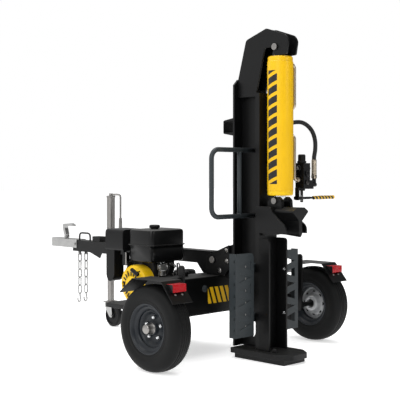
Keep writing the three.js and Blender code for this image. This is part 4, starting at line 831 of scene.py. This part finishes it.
STUD_RADIUS = 0.05715
SLOT_RADIUS = 0.0675
TYRE_HALF = [
    (0.2318, 0), (0.2318, 0.0062), (0.2290, 0.0070), (0.2290, 0.0090), (0.2316, 0.0098),
    (0.2308, 0.0190), (0.2280, 0.0198), (0.2279, 0.0218), (0.2300, 0.0226), (0.2284, 0.0330),
    (0.2250, 0.0430), (0.2200, 0.0515), (0.2130, 0.0580), (0.2040, 0.0628), (0.1940, 0.0657),
    (0.1820, 0.0670), (0.1700, 0.0665), (0.1580, 0.0645), (0.1480, 0.0620), (0.1458, 0.0628),
    (0.1436, 0.0615), (0.1390, 0.0592), (0.1362, 0.0600), (0.1338, 0.0588), (0.1290, 0.0550),
    (0.1182, 0.0414)]
TYRE_INSIDE = [(0.1182, 0.034), (0.15, 0.043), (0.20, 0.046), (0.221, 0.030), (0.224, 0)]
RIM_HALF = [
    (0.1335, 0.0572), (0.1345, 0.0592), (0.1330, 0.0606), (0.1290, 0.0600), (0.1255, 0.0570),
    (0.1225, 0.0500), (0.1185, 0.0425), (0.1135, 0.0400), (0.1075, 0.0385), (0.1035, 0.0360),
    (0.1015, 0.0300), (0.1010, 0.0150)]
RIM_DISC = [
    (0.0985, 0.0200), (0.0970, 0.0245), (0.0930, 0.0250), (0.0870, 0.0200), (0.0810, 0.0110),
    (0.0755, 0.0042), (0.0720, 0.0020), (0.0380, 0.0020), (0.0355, 0.0035), (0.0350, 0.0230),
    (0.0335, 0.0250), (0.0262, 0.0255), (0.0262, -0.040), (0.036, -0.042), (0.0500, -0.0300),
    (0.0560, -0.0100), (0.0720, -0.0040), (0.0760, -0.0030), (0.0860, 0.0060), (0.0930, 0.0070),
    (0.0985, -0.0010)]
GREASE_CAP = [
    (0, 0.0250), (0.0300, 0.0250), (0.0310, 0.0262), (0.0300, 0.0285), (0.0262, 0.0300), (0.0258, 0.0640),
    (0.0242, 0.0690), (0.0190, 0.0712), (0, 0.0718)]


def mirrored(half):
    """The other half of a profile, run backwards."""
    return [(radius, -out) for radius, out in reversed(half)]


for side, wheel, disc_paint in ((-1, "left", rim_paint), (1, "right", silver_paint)):
    centre = at(side * 680, 0, 232.5)
    out = (side, 0, 0)
    body = "wheel_" + wheel
    profile = [*TYRE_HALF, *TYRE_INSIDE, *mirrored(TYRE_INSIDE[:-1]), *mirrored(TYRE_HALF[1:])]
    tyre = lathe("tyre_" + wheel + "_moulded", profile, centre, out, tyre_rubber, 160, ring=True, sharp=42)
    declare(tyre, body, "tyre_rubber", "tyre_" + wheel)
    outside = [*RIM_HALF, (0.1010, -0.0150), *mirrored(RIM_HALF)]
    under = [(radius - 0.0032, along * 0.93) for radius, along in reversed(outside)]
    rim = lathe("rim_barrel", [*outside, *under], centre, out, rim_paint, 128, ring=True, sharp=60)
    face = lathe("rim_disc", RIM_DISC, centre, out, disc_paint, 96, ring=True, sharp=60)
    whole = joined("rim_" + wheel + "_pressed", rim, face)
    declare(whole, body, "rim_paint", "rim_" + wheel)
    dark = Finish("slot_shadow_" + wheel, (0.002, 0.002, 0.002), 0.9).material
    slot = lathe("slot", [(0, -0.0006), (0.0105, -0.0006), (0.0105, 0.0006), (0, 0.0006)],
                 (side * -0.0046, 0, SLOT_RADIUS), out, dark, 24)
    slots = ring_of("rim_slots_" + wheel, slot, 8, (1, 0, 0), centre, dark)
    declare(slots, body, "rim_paint")
    nut = hexagon("nut", (side * 0.003, 0, STUD_RADIUS), out, 0.019, 0.013, chrome_plate)
    nuts = ring_of("wheel_nuts_" + wheel, nut, 5, (1, 0, 0), centre, chrome_plate)
    tip = lathe("tip", [(0.0085, 0.013), (0.008, 0.019), (0.004, 0.0208), (0, 0.021)], (0, 0, STUD_RADIUS),
                out, chrome_plate, 24)
    tips = ring_of("tips", tip, 5, (1, 0, 0), centre, chrome_plate)
    cap = lathe("cap", GREASE_CAP, centre, out, zinc_plate, 64, sharp=50)
    fittings = joined("wheel_fittings_" + wheel, nuts, tips, cap)
    declare(fittings, body, "zinc_plate")


# ---------------------------------------------------------------- engine
# Horizontal-shaft engine bolted to the deck: pressed yellow fan cover with a recoil starter, black crankcase
# and cylinder, black steel fuel tank, moulded air cleaner and black muffler. The gear pump hangs on its bell
# housing behind.

finished("engine_block", engine_black, "chassis", "engine_alloy", 0.0014)
finished("fan_cover", yellow_paint, "chassis", "yellow_paint", 0.002)
louvre = block("louvre", (-0.0010, -0.0045, 0.052), (0.0008, 0.0045, 0.076), black_plastic, 0.0006)
louvres = ring_of("fan_louvres", louvre, 18, (1, 0, 0), at(-440, 470, 400), black_plastic)
declare(louvres, "chassis", "black_plastic")

carburettor = joined(
    "carburettor_and_governor",
    lathe("bowl", [(0, 0), (0.019, 0), (0.022, 0.004), (0.022, 0.026), (0.025, 0.028), (0.025, 0.034),
                   (0, 0.034)], at(-300, 352, 452), (0, 0, 1), engine_alloy, 40),
    block("throat", at(-326, 340, 487), at(-276, 372, 520), engine_alloy, 0.003),
    lathe("flange", [(0, 0), (0.021, 0), (0.021, 0.006), (0.013, 0.008), (0.013, 0.03), (0, 0.03)],
          at(-276, 356, 502), (1, 0, 0), engine_alloy, 32),
    bar("governor_rod", [(-322, 343, 515), (-250, 340, 528), (-190, 342, 470), (-190, 352, 420)], 0.0016,
        zinc_plate, 0.008, 10),
    block("governor_arm", at(-196, 340, 405), at(-184, 343, 520), zinc_plate, 0.001),
    bar("choke_rod", [(-330, 338, 498), (-345, 336, 470), (-340, 340, 430)], 0.0016, zinc_plate, 0.006, 10),
    bar("fuel_line", [(-262, 340, 533), (-258, 334, 500), (-282, 336, 462), (-300, 345, 452)], 0.0042,
        black_plastic, 0.015, 14),
    bar("plug_lead", [(-170, 350, 520), (-165, 338, 480), (-205, 336, 440), (-230, 346, 415)], 0.0038,
        black_plastic, 0.02, 14),
)
declare(carburettor, "chassis", "engine_alloy")
COIL_RADIUS, COIL_STEP, COIL_TURN = 3.6, 0.32, 0.7
coil_line = [at(-268 + k * COIL_STEP, 341 + COIL_RADIUS * math.sin(k * COIL_TURN),
                512 + COIL_RADIUS * math.cos(k * COIL_TURN)) for k in range(190)]
spring = tube("governor_spring", coil_line, 0.0006, zinc_plate, 8)
declare(spring, "chassis", "zinc_plate")
crankcase_bolts = placed("crankcase_bolts", bolt("bolt", 0.010, zinc_plate), [
    (at(x, 349, z), (0, -1, 0)) for x, z in (
        (-340, 300), (-256, 292), (-172, 300), (-340, 380), (-172, 372), (-256, 395), (-215, 455),
        (-240, 380))], zinc_plate)
declare(crankcase_bolts, "chassis", "zinc_plate")
cooling = [block("fin", at(-346, 352, low), at(-208, 372, low + 3), engine_black, 0.0005)
           for low in (408, 417, 426, 435, 444)]
shroud = block("shroud", at(-350, 376, 440), at(-178, 480, 532), engine_black, 0.006)
declare(joined("cylinder_shroud_and_fins", shroud, *cooling), "chassis", "engine_alloy")
control_screws = placed("control_screws", bolt("screw", 0.009, chrome_plate), [
    (at(x, 346, z), (0, -1, 0)) for x, z in (
        (-317, 528), (-330, 512), (-292, 528), (-277, 476), (-262, 486), (-238, 520), (-203, 500),
        (-212, 470), (-250, 440), (-228, 428))], chrome_plate)
declare(control_screws, "chassis", "zinc_plate")
dipstick = lathe("dipstick_cap", [(0, 0), (0.011, 0), (0.0125, 0.004), (0.0125, 0.016), (0.009, 0.020),
                                  (0, 0.021)], at(-196, 349, 318), (0, -1, 0.35), yellow_paint, 12, sharp=25)
declare(dipstick, "chassis", "black_plastic")
finished("fuel_tank", tank_black, "chassis", "black_paint", 0.003)
finished("air_cleaner", black_plastic, "chassis", "black_plastic", 0.003)
finished("muffler", satin_black, "chassis", "black_paint", 0.0025)
finished("hydraulic_pump", engine_black, "chassis", "engine_alloy", 0.0016)
finished("fuel_cap", black_plastic, "tank_cap", "black_plastic", 0.002)
finished("throttle_lever", zinc_plate, "throttle", "zinc_plate", 0.0006)
finished("recoil_grip", black_plastic, "pull_grip", "black_plastic", 0.002)


# ---------------------------------------------------------------- jack
# Top-wind jack on a swivel mount beside the tongue: a zinc-plated outer tube, the leg inside it, a bent
# crank on top, and a plated fork under the leg that carries a hard plastic caster.

finished("jack_tube", zinc_plate, "jack", "zinc_plate", 0.001)
finished("jack_leg", zinc_plate, "jack_foot", "zinc_plate", 0.001)
finished("jack_crank", zinc_plate, "crank", "zinc_plate", 0.001)
finished("caster_fork", bright_zinc, "swivel", "zinc_plate", 0.001)
finished("caster_wheel", black_plastic, "caster", "black_plastic", 0.002)


# ---------------------------------------------------------------- safety chains
# Welded links of heavy zinc-plated wire, each turned a quarter from the last, with a bent hook on the end.
# The first link hangs in a hole of the tongue's lug.

LINK_BEND = 0.012
LINK_STRAIGHT = 0.018
LINK_PITCH = 0.055
FIRST_LINK = 0.030
oval = []
for k in range(32):
    angle = 2 * math.pi * k / 32
    straight = LINK_STRAIGHT if math.sin(angle) > 0 else -LINK_STRAIGHT
    oval.append(Vector((LINK_BEND * math.cos(angle), 0, straight + LINK_BEND * math.sin(angle))))
for side, name in ((-1, "left"), (1, "right")):
    top = at(side * 27, 1480, 500)
    links = []
    for k in range(5):
        quarter = Matrix.Rotation(math.radians(90 * (k % 2)), 3, "Z")
        middle = top + Vector((0, 0, -FIRST_LINK - LINK_PITCH * k))
        loop_line = [middle + quarter @ point for point in (*oval, oval[0], oval[1])]
        links.append(tube("link", loop_line, 0.0044, bright_zinc, 14))
    end = top.z - FIRST_LINK - LINK_PITCH * 4 - 0.026
    hook_line = [Vector((top.x, top.y + y, end + z)) for y, z in (
        (0, 0.003), (-0.002, -0.022), (-0.010, -0.044), (0.006, -0.062), (0.022, -0.048), (0.022, -0.036))]
    hook = tube("hook", catmull(hook_line, 8), 0.0052, bright_zinc, 16)
    declare(joined("chain_" + name + "_links", *links, hook), "chain_" + name, "zinc_plate",
            "safety_chain_" + name)


# ---------------------------------------------------------------- floor
# A seamless pale sweep, wide enough that its edge is never seen. It glows a little, so that it stays as pale
# as the room behind it.

sweep = bpy.data.meshes.new("floor")
sweep.from_pydata([(-40, -40, 0), (40, -40, 0), (40, 40, 0), (-40, 40, 0)], [], [(0, 1, 2, 3)])
floor_finish = Finish("studio_floor", (0.92, 0.92, 0.92), 0.8, Specular_IOR_Level=0.1)
floor_finish.shader.inputs["Emission Color"].default_value = (1, 1, 1, 1)
floor_finish.shader.inputs["Emission Strength"].default_value = 0.52
sweep.materials.append(floor_finish.material)
floor = bpy.data.objects.new("floor", sweep)
scene.collection.objects.link(floor)
